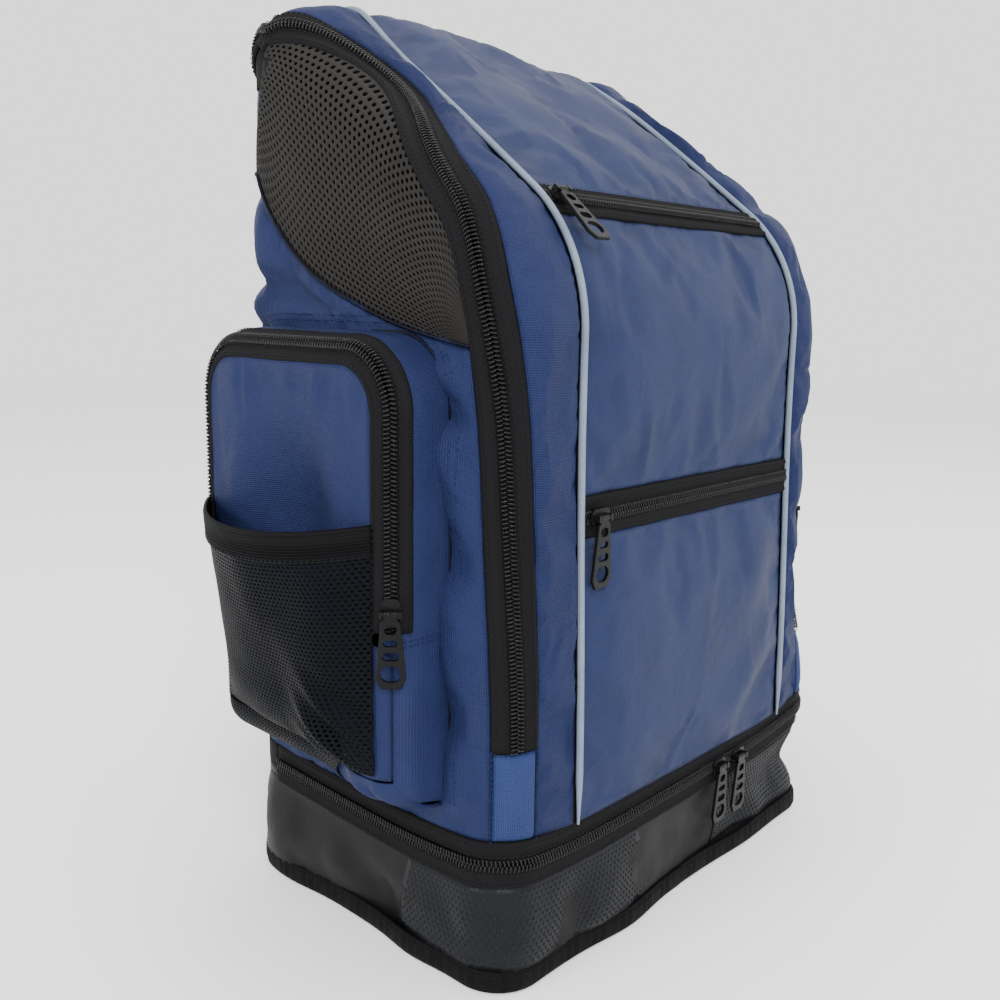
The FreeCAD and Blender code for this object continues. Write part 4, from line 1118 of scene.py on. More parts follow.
def build_patch(side, sign):
    def surface(a, b):
        z = 0.0125 + b * (BASE_ZIP_Z - TAPE_HALF - 0.0125)
        u0, u1 = patch_edge(z)
        u = sign * (u0 + a * (u1 - u0))
        p, n = ring_point(u, z)
        return p + n * (base_dent(u, z) + 0.0010), n
    ob = sheet("corner_patch_" + side, lambda a, b: surface(a, b)[0], span(0, 1, 0.02), span(0, 1, 0.08),
               MAT["rubber"], FACING, metric=False)
    place(ob, "base", ["base_corner_patches"] if sign < 0 else ())
    verts, faces = [], []
    pitch, foot, crown, height = 0.0030, 0.00105, 0.0006, 0.0005      # of the raised dots
    cols, rows = int(0.150 / pitch), int(0.041 / pitch * 1.1)
    for j in range(1, rows):
        for i in range(1, cols):
            a, b = (i + 0.5 * (j % 2)) / cols, j / rows
            if a >= 0.99:
                continue
            p, n = surface(a, b)
            along_wall = n.cross(TO_TOP)
            base = len(verts)
            for radius, out in ((foot, 0.0), (crown, height)):
                verts += [p + (along_wall * math.cos(t) + TO_TOP * math.sin(t)) * radius + n * out for t in turns(6)]
            faces += [(base + k, base + m, base + 6 + m, base + 6 + k) for k in range(6) for m in [(k + 1) % 6]]
            faces.append(tuple(range(base + 6, base + 12)))
    place(new_object("corner_dots_" + side, verts, faces, MAT["rubber"]), "base")


# ------------------------------------------------------------------ side pouches
P_Y0, P_Y1 = -0.066 + BACK_SHIFT, 0.100 + BACK_SHIFT
P_Z0, P_Z1, P_X = 0.098, 0.332, HALF + 0.038
P_RTOP, P_EDGE = 0.036, 0.018
P_HINGE = 0.116                                       # height of the fold that the face swings about
POUCH_ZIP_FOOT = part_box("pouch_left_slider")[0][2] - 0.004
HOLLOW_Y, HOLLOW_DEPTH, HOLLOW_HALF = 0.018 + BACK_SHIFT, 0.016, 0.050      # where a bottle leans in
POUCH_TAPE = 0.010


def pouch_outline(s):
    """Point (y, z) and outward normal round the pouch: up its front edge, over the top and down its back edge."""
    straight = P_Z1 - P_RTOP - P_Z0
    arc = P_RTOP * math.pi / 2
    flat = (P_Y1 - P_Y0) - 2 * P_RTOP
    if s <= straight:
        return P_Y0, P_Z0 + s, -1.0, 0.0
    s -= straight
    if s <= arc:
        a = s / P_RTOP
        return P_Y0 + P_RTOP - P_RTOP * math.cos(a), P_Z1 - P_RTOP + P_RTOP * math.sin(a), -math.cos(a), math.sin(a)
    s -= arc
    if s <= flat:
        return P_Y0 + P_RTOP + s, P_Z1, 0.0, 1.0
    s -= flat
    if s <= arc:
        a = s / P_RTOP
        return P_Y1 - P_RTOP + P_RTOP * math.sin(a), P_Z1 - P_RTOP + P_RTOP * math.cos(a), math.sin(a), math.cos(a)
    s -= arc
    return P_Y1, P_Z1 - P_RTOP - s, 1.0, 0.0


POUCH_LENGTH = 2 * (P_Z1 - P_RTOP - P_Z0) + math.pi * P_RTOP + (P_Y1 - P_Y0) - 2 * P_RTOP
GUSSET_FLAT = P_X - P_EDGE - HALF


def pouch_skin(side, s, w, out=0.0):
    """Point on the pouch: s round the arch, w from the side panel out over the rounded rim to the face."""
    y, z, ny, nz = pouch_outline(s)
    if w <= GUSSET_FLAT:
        x, inset, n = HALF + w, 0.0, Vector((0, ny, nz))
    elif w <= GUSSET_FLAT + P_EDGE * math.pi / 2:
        th = (w - GUSSET_FLAT) / P_EDGE
        x = P_X - P_EDGE + P_EDGE * math.sin(th)
        inset = P_EDGE * (1 - math.cos(th))
        n = Vector((side * math.sin(th), ny * math.cos(th), nz * math.cos(th)))
    else:
        x, inset = P_X, P_EDGE + w - GUSSET_FLAT - P_EDGE * math.pi / 2
        n = Vector((side, 0, 0))
    return Vector((side * x, y - ny * inset, z - nz * inset)) + n * out, n


POUCH_ZIP_W = GUSSET_FLAT + P_EDGE * math.pi / 4


def pouch_inset(y, z):
    """How far inside the pouch's outline a point of its face lies."""
    e = min(y - P_Y0, P_Y1 - y, P_Z1 - z)
    for cy, sign in ((P_Y0 + P_RTOP, -1), (P_Y1 - P_RTOP, 1)):
        cz = P_Z1 - P_RTOP
        if (y - cy) * sign > 0 and z > cz:
            e = P_RTOP - math.hypot(y - cy, z - cz)
    return e


def face_x(y, z):
    """Depth of the pouch face: rounded rim, and a soft hollow where a bottle leans in."""
    e = min(max(pouch_inset(y, z), 0.0), P_EDGE)
    x = P_X - P_EDGE + math.sqrt(max(P_EDGE ** 2 - (P_EDGE - e) ** 2, 0.0))
    d = min(abs(y - HOLLOW_Y) / HOLLOW_HALF, 1.0)
    across = (1 - d * d) ** 2
    return x - HOLLOW_DEPTH * across * (1 - smooth(z, 0.235, 0.312))


def build_pouches():
    for side, sign in SIDES:
        build_gusset(side, sign)
        build_foot_mesh(side, sign)
        build_face(side, sign)
        build_pouch_zip(side, sign)
        build_bottle_pocket(side, sign)


def tape_share(z):
    """1 where the pouch zip's tapes lie on its front edge, 0 below the parked slider, where plain cloth meets."""
    return smooth(z, POUCH_ZIP_FOOT - 0.003, POUCH_ZIP_FOOT + 0.003)


def build_gusset(side, sign):
    inside = Vector((sign * 0.18, BACK_SHIFT + 0.017, 0.21))

    def fn(s, b):
        low = tape_share(P_Z0 + s) if s < POUCH_LENGTH / 2 else 1.0
        w = -0.0040 + b * (POUCH_ZIP_W - POUCH_TAPE * low + 0.0035)
        p, n = pouch_skin(sign, s, w)
        if p.z < P_HINGE:
            p.x = sign * (HALF + (abs(p.x) - HALF) * foot_round((P_HINGE - p.z) / (P_HINGE - P_Z0)))
        out = 0.0012 * edge_rise(b, 0.3) + rumple(p, 0.0012, 22.0, (1, 1, 1), 40.0 + sign) * edge_rise(b, 0.2)
        return p + n * out
    ob = sheet("pouch_gusset_cloth_" + side, fn, span(0.0, POUCH_LENGTH, ROW), span(0.0, 1.0, 0.08), MAT["navy"],
               POUCH_CLOTH, inside)
    place(ob, "pack", ["pouch_gusset_" + side])
    build_pouch_foot(side, sign)

    def facing(s, b):
        return pouch_skin(sign, s, POUCH_ZIP_W - 0.006 + 0.011 * b, -0.0006)[0]
    ob = sheet("pouch_seam_facing_" + side, facing,
               span(P_HINGE - P_Z0 + 0.002, POUCH_ZIP_FOOT - P_Z0 + 0.004, ROW), span(0.0, 1.0, 0.1), MAT["navy"],
               FACING, inside)
    place(ob, "pack")
    round_it = span(0.0, POUCH_LENGTH, 0.005)
    edge_binding("pouch_seam_" + side, [pouch_skin(sign, s, 0.0008, 0.0008)[0] for s in round_it], sign, 0.0012)
    for i, off in enumerate((0.0055, 0.0085)):
        line = []
        for s in round_it:
            y, z, ny, nz = pouch_outline(s)
            q = on_side(sign, y + ny * off, z + nz * off, 0.0002)
            if inset_at(q.y, q.z) > 0.004 and q.z > BASE_TOP + 0.004:
                line.append((q, Vector((sign, 0, 0))))
        dashes("pouch_flange_stitch_%s_%d" % (side, i), line, "pack", MAT["thread_navy"])
    for i, below in enumerate((0.0000, 0.0028)):
        s = POUCH_ZIP_FOOT - P_Z0 - 0.004 - below
        line = [pouch_skin(sign, s, w, 0.0016) for w in span(0.002, POUCH_ZIP_W - 0.003, 0.002)]
        dashes("pouch_cross_stitch_%s_%d" % (side, i), line, "pack", MAT["thread_navy"])


def foot_round(b):
    """Share of the pouch's depth left on the way under its foot, 1 at the fold to almost 0 at the side panel."""
    return 0.10 + 0.90 * math.sqrt(max(0.0, 1 - b ** 2.2))


def foot_rim(y):
    """How far the pouch's rounded rim takes the foot in at y."""
    e = min(y - P_Y0, P_Y1 - y, P_EDGE)
    return P_EDGE - math.sqrt(max(P_EDGE ** 2 - (P_EDGE - e) ** 2, 0.0))


def build_pouch_foot(side, sign):
    """The fixed lower end of the pouch, under the fold of its face: a rounded, puckered fold of cloth."""
    def fn(a, b):
        y = P_Y0 + 0.0004 + a * (P_Y1 - P_Y0 - 0.0008)
        z = P_HINGE - b * (P_HINGE - P_Z0 + 0.003) - 0.0006
        x = HALF + (P_X - HALF - foot_rim(y)) * foot_round(b)
        pucker = 0.0020 * math.sin(a * 46.0 + 3 * noise.noise(Vector((a * 7, b * 2, 1)))) * b * (1 - b) * 4
        return Vector((sign * (x + pucker * edge_rise(a, 0.1)), y, z))
    ob = sheet("pouch_foot_cloth_" + side, fn, span(0, 1, 0.012), span(0, 1, 0.05), MAT["navy"], POUCH_CLOTH)
    place(ob, "pack")


def build_foot_mesh(side, sign):
    """The bottle pocket's mesh carries on round the pouch's foot, except at its front corner."""
    def fn(a, b):
        a = 0.24 + 0.76 * a + 0.05 * math.sin(b * 3.0)
        y = P_Y0 + a * (P_Y1 - P_Y0 - 0.0010)
        z = P_HINGE + 0.0012 - b * (P_HINGE - P_Z0 + 0.0035)
        x = HALF + (P_X - HALF - foot_rim(y) + 0.0030) * foot_round(max(b - 0.05, 0.0))
        return Vector((sign * x, y, z))
    ob = net("pocket_foot_mesh_" + side, fn, 0.130, 0.034, 0.0032, 0.0026, 0.58, MAT["mesh_dark"], 0.0009)
    place(ob, "pack")


def build_face(side, sign):
    inset_w = P_EDGE * (1 - math.cos(math.pi / 4 + POUCH_TAPE / P_EDGE))

    def fn(a, b):
        z0 = P_HINGE + 0.0008
        low = tape_share(z0 + b * (P_Z1 - inset_w - z0))
        front = P_EDGE * (1 - math.cos(math.pi / 4)) * (1 - low) + inset_w * low
        y = P_Y0 + front + a * (P_Y1 - P_Y0 - inset_w - front)
        r = P_RTOP - inset_w
        d = 0.0
        for cy, sgn in ((P_Y0 + P_RTOP, -1), (P_Y1 - P_RTOP, 1)):
            if (y - cy) * sgn > 0:
                d = r - math.sqrt(max(r * r - (y - cy) ** 2, 0.0))
        z = z0 + b * (P_Z1 - inset_w - d - z0)
        soft = min(edge_rise(a, 0.1), edge_rise(b, 0.08))
        p = Vector((sign * (face_x(y, z) + 0.0004), y, z))
        wave = math.sin((y - P_Y0) * 240.0 + 3 * noise.noise(Vector((y * 60, z * 20, 2))))
        gather = 0.0012 * hump(z, 0.310, 0.016) * wave
        out = (rumple(p, 0.0018, 24.0, (1, 1.2, 0.6), 50.0 + sign) + gather) * soft
        return p + Vector((sign * out, 0, 0))
    ob = sheet("pouch_face_cloth_" + side, fn, span(0, 1, 0.018), span(0, 1, 0.016), MAT["navy"], POUCH_CLOTH)
    place(ob, "pouch_face_" + side, ["pouch_face_" + side])


def build_pouch_zip(side, sign):
    start, end = POUCH_ZIP_FOOT - P_Z0, POUCH_LENGTH - (P_HINGE - P_Z0) - 0.001

    def surface(a, b, out):
        return pouch_skin(sign, a, b, out)
    path = [(s, POUCH_ZIP_W) for s in span(start, end, ROW)]
    gone = ["pouch_zip_gusset_halves"] if sign < 0 else ()
    full_zip("pouch_zip_" + side, path, surface, POUCH_TAPE, "pack", "pouch_face_" + side,
             gone, ["pouch_zip_face_half_" + side])


POCKET_HALF, POCKET_OUT = 0.072, 0.0275
POCKET_Z0, POCKET_Z1, ELASTIC = 0.118, 0.238, 0.015


def pocket_point(side, a, z, out=0.0):
    """Point on the bottle pocket: a from 0 at the front seam to 1 at the rear, over its bulge."""
    c = 2 * a - 1
    y = HOLLOW_Y + c * POCKET_HALF
    lift = POCKET_OUT * (1 - abs(c) ** 2.3)
    low = min(max((z - POCKET_Z0) / 0.030, 0.0), 1.0)
    lift *= math.sqrt(1 - (1 - low) ** 2) * 0.97 + 0.03
    return Vector((side * (P_X + 0.0008 + lift + out), y, z))


def build_bottle_pocket(side, sign):
    body = "pouch_face_" + side

    def hem(a):
        """Height of the elastic's lower edge: it sags in the middle and towards the rear."""
        return POCKET_Z1 - ELASTIC + 0.006 * (abs(2 * a - 1) ** 2) - 0.006 * a

    def surface(a, b):
        z = POCKET_Z0 + 0.001 + b * (hem(a) - POCKET_Z0)
        p = pocket_point(sign, a, z)
        fold = 0.0024 * hump(a, 0.16, 0.14) * hump(z, 0.140, 0.022) * math.sin((z - 0.8 * p.y) * 300.0)
        slack = 0.0016 * noise.noise(Vector((a * 5, z * 30, 3.0 + sign))) * edge_rise(a, 0.2)
        return p + Vector((sign * (fold + slack), 0, 0))
    ob = net("bottle_pocket_mesh_" + side, surface, 0.165, 0.130, 0.0032, 0.0026, 0.58, MAT["mesh_dark"], 0.0009)
    place(ob, body, ["bottle_pocket_" + side])

    def band(a, b):
        rib = 0.00035 * math.sin(b * 10 * 2 * math.pi)
        return pocket_point(sign, a, hem(a) + b * ELASTIC, 0.0010 + rib * edge_rise(b, 0.1))
    strip = sheet("pocket_elastic_" + side, band, span(0, 1, 0.015), span(0, 1, 0.018), MAT["elastic"], 0.0020)
    place(strip, body)
    outward = Vector((sign, 0, 0))
    for i, b in enumerate((0.04, 0.10)):
        line = [(band(a, b) + outward * 0.0004, outward) for a in span(0.01, 0.99, 0.02)]
        dashes("elastic_stitch_%s_%d" % (side, i), line, body, MAT["thread"])


# ------------------------------------------------------------------ back, pads, straps
def build_back():
    low, high = back_s(0.0666), back_s(BACK_ZIP_Z) + TAPE_HALF
    flat = HALF - R_EDGE

    def half(s):
        return flat + 0.050 * (1 - smooth(s, back_s(0.425), back_s(0.405)))

    def tuck(s, t):
        return -0.0024 * smooth(abs(t), flat + 0.012, flat + 0.028)
    ob = panel("back_cloth", high, low, lambda s: -half(s), half, MAT["navy"], 0.0008, 0.0010, 60.0, step=0.005,
               extra=tuck)
    solidify(ob, PANEL_CLOTH)
    place(ob, "pack", ["back_panel"])
    for side, sign in SIDES:
        build_zip_corner(side, sign)
    hem = sheet("pack_rear_hem", lambda u, z: ring_point(u, z, 0.0006)[0], span(REAR_U, BASE_LOOP - REAR_U, ROW),
                span(BASE_ZIP_Z + 0.0006, BASE_TOP + 0.002, 0.003), MAT["binding"], BASE_CLOTH, metric=False)
    place(hem, "pack")


def build_zip_corner(side, sign):
    """Cloth outside the rounded corner that the main zip makes on its way to the back."""
    s_back = back_s(BACK_ZIP_Z)

    def fn(s, b):
        d = min(max(s - (s_back - ZIP_TURN), 0.0), ZIP_TURN)
        inner = ZIP_T - ZIP_TURN + math.sqrt(ZIP_TURN ** 2 - d ** 2) + 0.002
        return skin(s, sign * (inner + b * (SIDE_T + 0.012 - inner)), -0.0012)[0]
    ob = sheet("zip_corner_cloth_" + side, fn, span(s_back - 0.034, s_back + TAPE_HALF + 0.004, 0.003),
               span(0.0, 1.0, 0.08), MAT["tape"], POUCH_CLOTH)
    place(ob, "pack")


def even_mesh(ob, voxel):
    mod = ob.modifiers.new("even", "REMESH")
    mod.mode = "VOXEL"
    mod.voxel_size = voxel
    apply_all(ob)


def stuff(ob, cap=0.004):
    """Pumps a closed pad up as cloth and keeps the result; then the mesh is subdivided."""
    even_mesh(ob, 0.005)
    simulate(ob, 20, cap, 4.0, quality=5, mass=0.2, tension_stiffness=8.0, compression_stiffness=8.0,
             bending_stiffness=0.6)
    mod = ob.modifiers.new("smooth", "SUBSURF")
    mod.levels = mod.render_levels = 1
    apply_all(ob)


def apply_all(ob):
    deps = bpy.context.evaluated_depsgraph_get()
    me = bpy.data.meshes.new_from_object(ob.evaluated_get(deps))
    ob.modifiers.clear()
    ob.data = me
    for poly in me.polygons:
        poly.use_smooth = True


def loft(name, rings, material):
    """Closed body through rings of points."""
    verts = [p for ring in rings for p in ring]
    return new_object(name, verts, tube_faces(len(rings), len(rings[0]), -1), material)


def oval(a, power):
    """Point of a rounded rectangle, -1..1 both ways."""
    c, d = math.cos(a), math.sin(a)
    return math.copysign(abs(c) ** power, c), math.copysign(abs(d) ** power, d)


def build_pad(name, x0, x1, z0, z1, channels):
    """A foam pad under air mesh on the back, with channels sewn across it at the given heights."""
    half_x, half_z = (x1 - x0) / 2, (z1 - z0) / 2
    cx, cz = (x0 + x1) / 2, (z0 + z1) / 2
    floor_y, top_y = BACK + 0.0004, BACK + 0.0105

    def edge(a, y, shrink=0.0):
        along_x, along_z = oval(a, 0.28)
        return Vector((cx + (half_x - 0.001 - shrink) * along_x, y, cz + (half_z - 0.001 - shrink) * along_z))
    rings = []
    for f in span(0.0, 1.0, 0.05):
        shrink = 0.004 * f ** 3 + (0.003 if f > 0.98 else 0.0)
        rings.append([edge(a, floor_y + 0.0078 * f, shrink) for a in turns(72)])
    ob = loft(name, rings, MAT["pad"])
    face_out(ob, Vector((cx, BACK + 0.004, cz)))
    stuff(ob)
    for v in ob.data.vertices:
        lift = v.co.y - floor_y
        press = max([0.0] + [hump(v.co.z, z, 0.0032) for z in channels])
        rim = min(half_x - abs(v.co.x - cx), half_z - abs(v.co.z - cz))
        press = max(press * smooth(rim, 0.004, 0.010), 0.85 * hump(rim, 0.0, 0.0035))
        v.co.y = floor_y + min(max(lift, 0.0), top_y - floor_y) * (1 - 0.72 * press)
    place(ob, "pack")
    for k, z in enumerate(channels):
        line = [(Vector((x, BACK + 0.0034, z)), TO_REAR) for x in span(x0 + 0.010, x1 - 0.010, 0.006)]
        dashes("%s_channel_%d" % (name, k), line, "pack", MAT["thread"])
    ring = [edge(a, BACK + 0.0018) for a in turns(96, 97)]
    tube(name + "_binding", ring, 0.0022, 0.0022, "pack", MAT["binding"])
    return ob


def tube(name, points, wide, high, body, material, up=TO_REAR, ring_n=10):
    """A rounded cord or edge tape along 3-D points; high is its half size along up."""
    rings = []
    for i, p in enumerate(points):
        d = (points[min(i + 1, len(points) - 1)] - points[max(i - 1, 0)]).normalized()
        side = d.cross(up).normalized()
        lift = side.cross(d).normalized()
        rings.append([p + side * wide * math.cos(a) + lift * high * math.sin(a) for a in turns(ring_n)])
    ob = loft(name, rings, material)
    run = along(points)
    layer = ob.data.uv_layers.new(name="UVMap")
    for loop in ob.data.loops:
        i, r = divmod(loop.vertex_index, ring_n)
        layer.data[loop.index].uv = (run[i], r * wide * 6.0 / ring_n)
    return place(ob, body)


def curve_through(points, f):
    """Catmull-Rom curve through tuples of numbers, f from 0 to 1."""
    n = len(points) - 1
    k = min(int(f * n), n - 1)
    t = f * n - k
    p0, p1, p2 = points[max(k - 1, 0)], points[k], points[k + 1]
    p3 = points[min(k + 2, n)]
    return tuple(0.5 * (2 * b + (c - a) * t + (2 * a - 5 * b + 4 * c - d) * t * t + (3 * b - a - 3 * c + d) * t ** 3)
                 for a, b, c, d in zip(p0, p1, p2, p3))


STRAP = [(0.010, 0.421, 0.056, 0.019), (0.030, 0.381, 0.054, 0.029), (0.036, 0.301, 0.060, 0.031),
         (0.034, 0.221, 0.072, 0.029), (0.024, 0.205, 0.088, 0.016)]      # y behind the back, z, x, half width
STRAP_ROOT = [(0.0026, 0.433, 0.024), (0.0050, 0.426, 0.022), (0.0110, 0.416, 0.019),
              (0.0190, 0.402, 0.021)]                                     # y behind the back, z, half width
LOW_WEBBING = [(0.0215, 0.186, 0.088), (0.019, 0.1725, 0.089), (0.018, 0.158, 0.105), (0.013, 0.134, 0.113),
               (0.007, 0.113, 0.117), (0.0026, 0.101, 0.117)]             # y behind the back, z, x
ANCHOR_X, FOOT_X = 0.056, 0.117                                           # strap ends, from the middle


def strap_frame(sign, f):
    """Middle, outward normal and half width of a shoulder strap."""
    y, z, x, half = curve_through(STRAP, f)
    y2, z2 = curve_through(STRAP, min(f + 0.01, 1.0))[:2]
    y1, z1 = curve_through(STRAP, max(f - 0.01, 0.0))[:2]
    d = Vector((0, y2 - y1, z2 - z1)).normalized()
    n = Vector((0, -d.z, d.y))
    return Vector((sign * x, BACK + y, z)), n, half


def build_strap(side, sign):
    body = "strap_" + side
    rings = []
    for f in span(0.0, 1.0, 0.02):
        c, n, half = strap_frame(sign, f)
        end = math.sqrt(max(min(f, 1 - f) / 0.02, 0.16)) if min(f, 1 - f) < 0.02 else 1.0
        rings.append([c + Vector((half - 0.0015, 0, 0)) * oval(a, 0.55)[0] + n * 0.0040 * end * oval(a, 0.8)[1]
                      for a in turns(36)])
    ob = loft("shoulder_strap_pad_" + side, rings, MAT["pad"])
    face_out(ob, Vector((sign * 0.062, BACK + 0.028, 0.31)))
    stuff(ob, cap=0.0025)
    surface = BVHTree.FromObject(ob, bpy.context.evaluated_depsgraph_get())
    place(ob, body, ["shoulder_strap_" + side])

    def lay(f, part, out):
        """A point on the strap's outer face, part of the way from its middle to its edge."""
        c, n, half = strap_frame(sign, f)
        p = c + Vector((half * part, 0, 0))
        hit = surface.ray_cast(p + n * 0.02, -n)[0]
        return (hit if hit is not None else p) + n * out, n
    for k, part in enumerate((-0.78, 0.78)):
        line = [lay(f, part, 0.0002) for f in span(0.03, 0.97, 0.02)]
        dashes("strap_stitch_%s_%d" % (side, k), line, body, MAT["thread"])
    for k, part in enumerate((-0.97, 0.97)):
        frames = [strap_frame(sign, f) for f in span(0.004, 0.996, 0.02)]
        edge = [c + Vector((half * part, 0, 0)) for c, n, half in frames]
        tube("strap_binding_%s_%d" % (side, k), edge, 0.0024, 0.0030, body, MAT["binding"])
    rows = [[lay(f, part, 0.0007)[0] for part in span(-0.40, 0.40, 0.08)] for f in span(0.30, 0.97, 0.015)]
    place(ribbon("strap_top_webbing_" + side, rows), body)
    rows = []
    for f in span(0.0, 1.0, 0.04):
        y, z, x = curve_through(LOW_WEBBING, f)
        rows.append([Vector((sign * x + w, BACK + y + 0.0006, z)) for w in span(-0.0125, 0.0125, 0.0025)])
    ob = ribbon("strap_low_webbing_" + side, rows)
    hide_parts("strap_webbing_" + side)
    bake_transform(ob)


def build_strap_root(side, sign):
    """Folded webbing that carries the strap from its stitched patch."""
    rows = []
    for f in span(0.0, 1.0, 0.1):
        y, z, half = curve_through(STRAP_ROOT, f)
        rows.append([Vector((sign * ANCHOR_X + half * w, BACK + y, z)) for w in span(-1.0, 1.0, 0.1)])
    ob = ribbon("strap_root_" + side, rows)
    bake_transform(ob)


def ribbon(name, rows):
    """Flat webbing through rows of points across it."""
    n = len(rows[0])
    run, across = along([row[n // 2] for row in rows]), along(rows[0])
    uvs = [(d, w) for d in run for w in across]
    ob = new_object(name, [p for row in rows for p in row], sheet_faces(len(rows), n), MAT["webbing"], uvs)
    face_out(ob)
    solidify(ob, 0.0013, offset=-0.5)
    return ob


def build_haul_loop():
    radius, y, z = 0.030, BACK + 0.0075, 0.466
    pts = [Vector((-radius, y, z - 0.008 * f)) for f in (1.0, 0.5)]
    pts += [Vector((-radius * math.cos(a), y, z + radius * math.sin(a))) for a in span(0.0, math.pi, 0.12)]
    pts += [Vector((radius, y, z - 0.008 * f)) for f in (0.5, 1.0)]
    ob = tube("haul_loop_webbing", pts, 0.0038, 0.0038, "haul_loop", MAT["webbing"], ring_n=16)
    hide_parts("haul_loop")
    for k, off in enumerate((-0.0022, 0.0022)):
        line = [(p + Vector((p.x / radius * off, 0.0034, (p.z - z) / radius * off)), TO_REAR) for p in pts[2:-2]]
        dashes("haul_loop_stitch_%d" % k, line, "haul_loop", MAT["thread"])


def build_anchor_stitches():
    """Box-and-cross stitching on the patches that hold the straps."""
    y = min(BACK + 0.0018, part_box("harness_anchors")[1][1])
    corners = [(-1, -1), (1, -1), (1, 1), (-1, 1), (-1, -1), (1, 1), (1, -1), (-1, 1)]
    for side, sign in SIDES:
        for tag, x, z, hx, hz in (("root", ANCHOR_X, 0.432, 0.026, 0.0048), ("foot", FOOT_X, 0.092, 0.0095, 0.0080)):
            ring = [Vector((sign * x + a * hx, y, z + b * hz)) for a, b in corners]
            line = [(p.lerp(q, k / 6.0), TO_REAR) for p, q in zip(ring, ring[1:]) for k in range(6)]
            dashes("anchor_stitch_%s_%s" % (tag, side), line, "pack", MAT["thread"])


def build_harness():
    build_back()
    for side, sign in SIDES:
        x0, x1 = sorted((sign * 0.012, sign * 0.104))
        pad = build_pad("back_pad_" + side, x0, x1, 0.150, 0.396, (0.211, 0.273, 0.335))
        if sign < 0:
            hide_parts("back_pads")
        build_strap(side, sign)
        build_strap_root(side, sign)
    build_pad("lumbar_pad", -0.098, 0.098, 0.092, 0.138, ())
    build_haul_loop()
    build_anchor_stitches()


# ------------------------------------------------------------------ how the full bag settles
def settle(p):
    """The stuffed bag is not true: its right front corner falls away behind the piping, the base's front corners
    lift, its floor edge waves, and the pouches draw in towards their feet."""
    q = p.copy()
    front_y = outline(max(p.z, 0.0))[0] if p.z < S1 else FRONT + R_BEND - math.sqrt(
        max(R_BEND ** 2 - min(p.z - S1, R_BEND) ** 2, 0.0))
    along_corner = (HALF - p.x) - (p.y - front_y)
    reach = 0.056 if along_corner > 0 else 0.036
    if p.x > 0.05 and abs(along_corner) < reach:
        w = (1 - (along_corner / reach) ** 2) ** 2
        w *= smooth(p.z, 0.085, 0.19) * (1 - smooth(p.z, 0.36, 0.45))
        q += Vector((-0.0105, 0.0110, 0)) * w
    near = hump(p.x, -HALF, 0.045) * hump(p.y, FRONT, 0.045)
    far = hump(p.x, HALF, 0.050) * hump(p.y, FRONT, 0.045)
    band = hump(p.z, 0.068, 0.030)
    q.z += (0.0055 * near + 0.0070 * far) * band
    low = 1 - smooth(p.z, 0.010, 0.058)
    if p.y < FRONT + 0.03:
        q.y -= (0.0050 * hump(p.x, -0.055, 0.028) + 0.0025 * hump(p.x, 0.075, 0.030)) * low
        q += Vector((-0.010, 0.008, 0.0)) * hump(p.z, 0.036, 0.016) * hump(p.x, HALF, 0.035)
    if p.x < -HALF + 0.03:
        q.x -= (0.0050 * hump(p.y, 0.052, 0.030) + 0.0028 * hump(p.y, -0.060, 0.020)) * low
    out = abs(p.x) - HALF
    if out > 0.002 and p.z > 0.09:
        draw = (1 - smooth(p.z, 0.125, 0.245)) * smooth(p.y, P_Y0 + 0.022, P_Y0 + 0.075)
        q.x -= math.copysign(0.26 * draw * out, p.x)
    return q


def settle_all():
    kept = {ob.name for ob in frame["nodes"].values()}
    for ob in list(bpy.context.scene.objects):
        if ob.type == "MESH" and ob.name not in kept and ob.name != "floor":
            for v in ob.data.vertices:
                v.co = settle(v.co)
            ob.data.update()


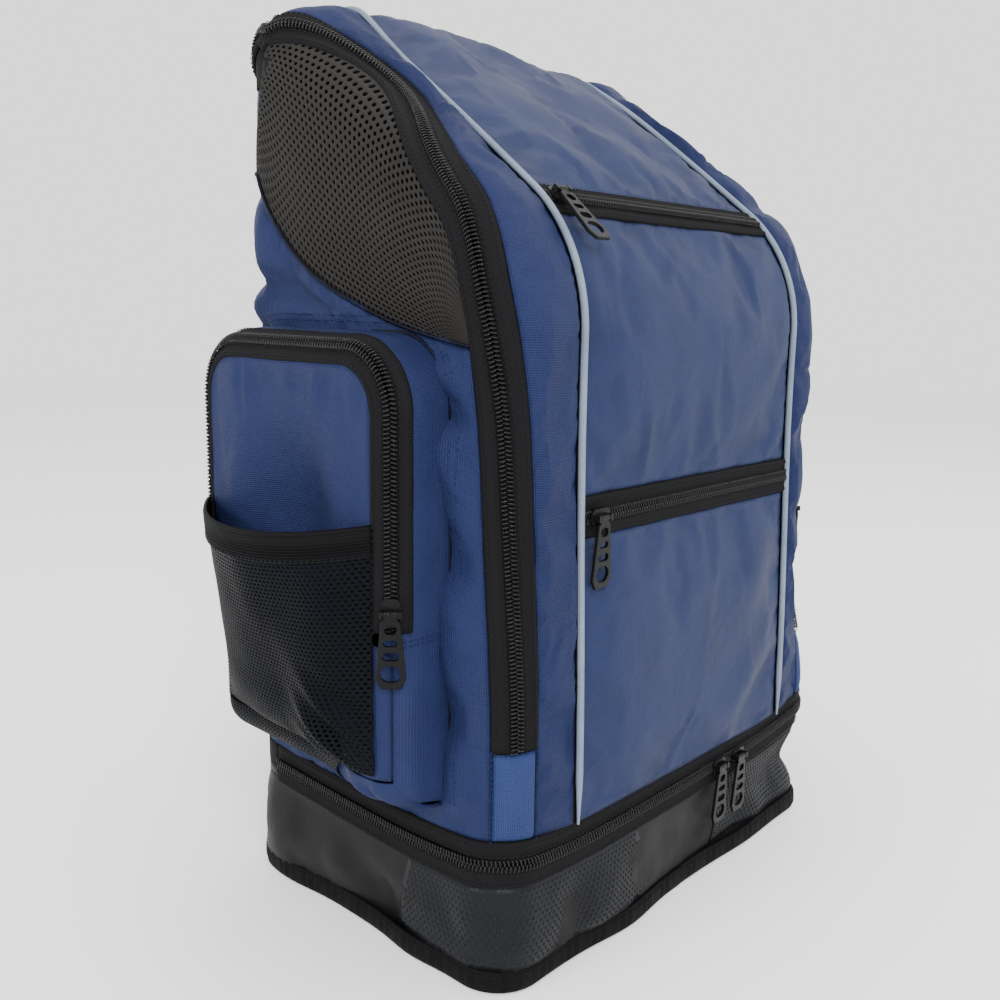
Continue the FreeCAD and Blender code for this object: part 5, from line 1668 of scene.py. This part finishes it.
# ------------------------------------------------------------------ camera, lights, floor
def build_stage():
    floor = new_object("floor", [(-4, -4, 0), (4, -4, 0), (4, 4, 0), (-4, 4, 0)], [(0, 1, 2, 3)])
    mat, _, bsdf = nodes_of("floor_white")
    put(bsdf, Base_Color=(0.93, 0.93, 0.93, 1), Roughness=0.8)
    floor.data.materials.append(mat)
    floor.location.z = -0.0005
    world = bpy.data.worlds.new("studio")
    bpy.context.scene.world = world
    world.use_nodes = True
    put(world.node_tree.nodes["Background"], Color=(1.0, 1.0, 1.0, 1), Strength=1.7)
    lights = [("key", (-1.1, -1.5, 1.5), 0.7, 42.0), ("side", (-1.9, 0.3, 0.9), 0.5, 18.0),
              ("top", (0.3, -0.1, 2.2), 1.2, 17.0), ("right", (1.5, -1.1, 0.9), 0.9, 10.0)]
    for name, loc, size, power in lights:
        data = bpy.data.lights.new(name, "AREA")
        data.energy = power
        data.size = size
        ob = bpy.data.objects.new(name, data)
        bpy.context.scene.collection.objects.link(ob)
        ob.location = loc
        ob.rotation_euler = (MIDDLE - Vector(loc)).to_track_quat("-Z", "Y").to_euler()


def build_camera():
    az, el, roll = math.radians(-46.92), math.radians(9.78), math.radians(0.95)
    back = Vector((math.sin(az) * math.cos(el), -math.cos(az) * math.cos(el), math.sin(el)))
    right = Vector((0, 0, 1)).cross(back).normalized()
    up = back.cross(right)
    r2 = right * math.cos(roll) + up * math.sin(roll)
    u2 = up * math.cos(roll) - right * math.sin(roll)
    data = bpy.data.cameras.new("camera")
    ob = bpy.data.objects.new("camera", data)
    bpy.context.scene.collection.objects.link(ob)
    m = Matrix((r2, u2, back)).transposed().to_4x4()
    m.translation = Vector((-0.4970, -0.4238 + BACK_SHIFT, 0.3472))
    ob.matrix_world = m
    data.sensor_width = 36.0
    data.lens = 37.13
    data.shift_x, data.shift_y = -0.0123, -0.0174
    data.clip_start = 0.01
    bpy.context.scene.camera = ob


# ------------------------------------------------------------------ CAD parts that stay in view
def keep_cad():
    """Carried-over CAD parts get their finished materials."""
    looks = {"board": ["base_board", "back_foam_board"], "lining": ["divider_floor", "pocket_lining", "inner_sleeve"],
             "tarp": ["base_floor"], "webbing": ["harness_anchors"],
             "plastic": ["ladder_lock_left", "ladder_lock_right"],
             "metal": [n for n in frame["nodes"] if n.endswith("_slider") or n.endswith("_puller")]}
    for look, names in looks.items():
        for name in names:
            ob = frame["nodes"][name]
            if not ob.material_slots:
                ob.data.materials.append(None)
            for s in ob.material_slots:
                s.link = "OBJECT"
                s.material = MAT[look]


build_stage()
build_camera()
build_flap()
build_front_zips()
build_main_zip()
build_sides()
build_base()
build_pouches()
build_harness()
keep_cad()
settle_all()
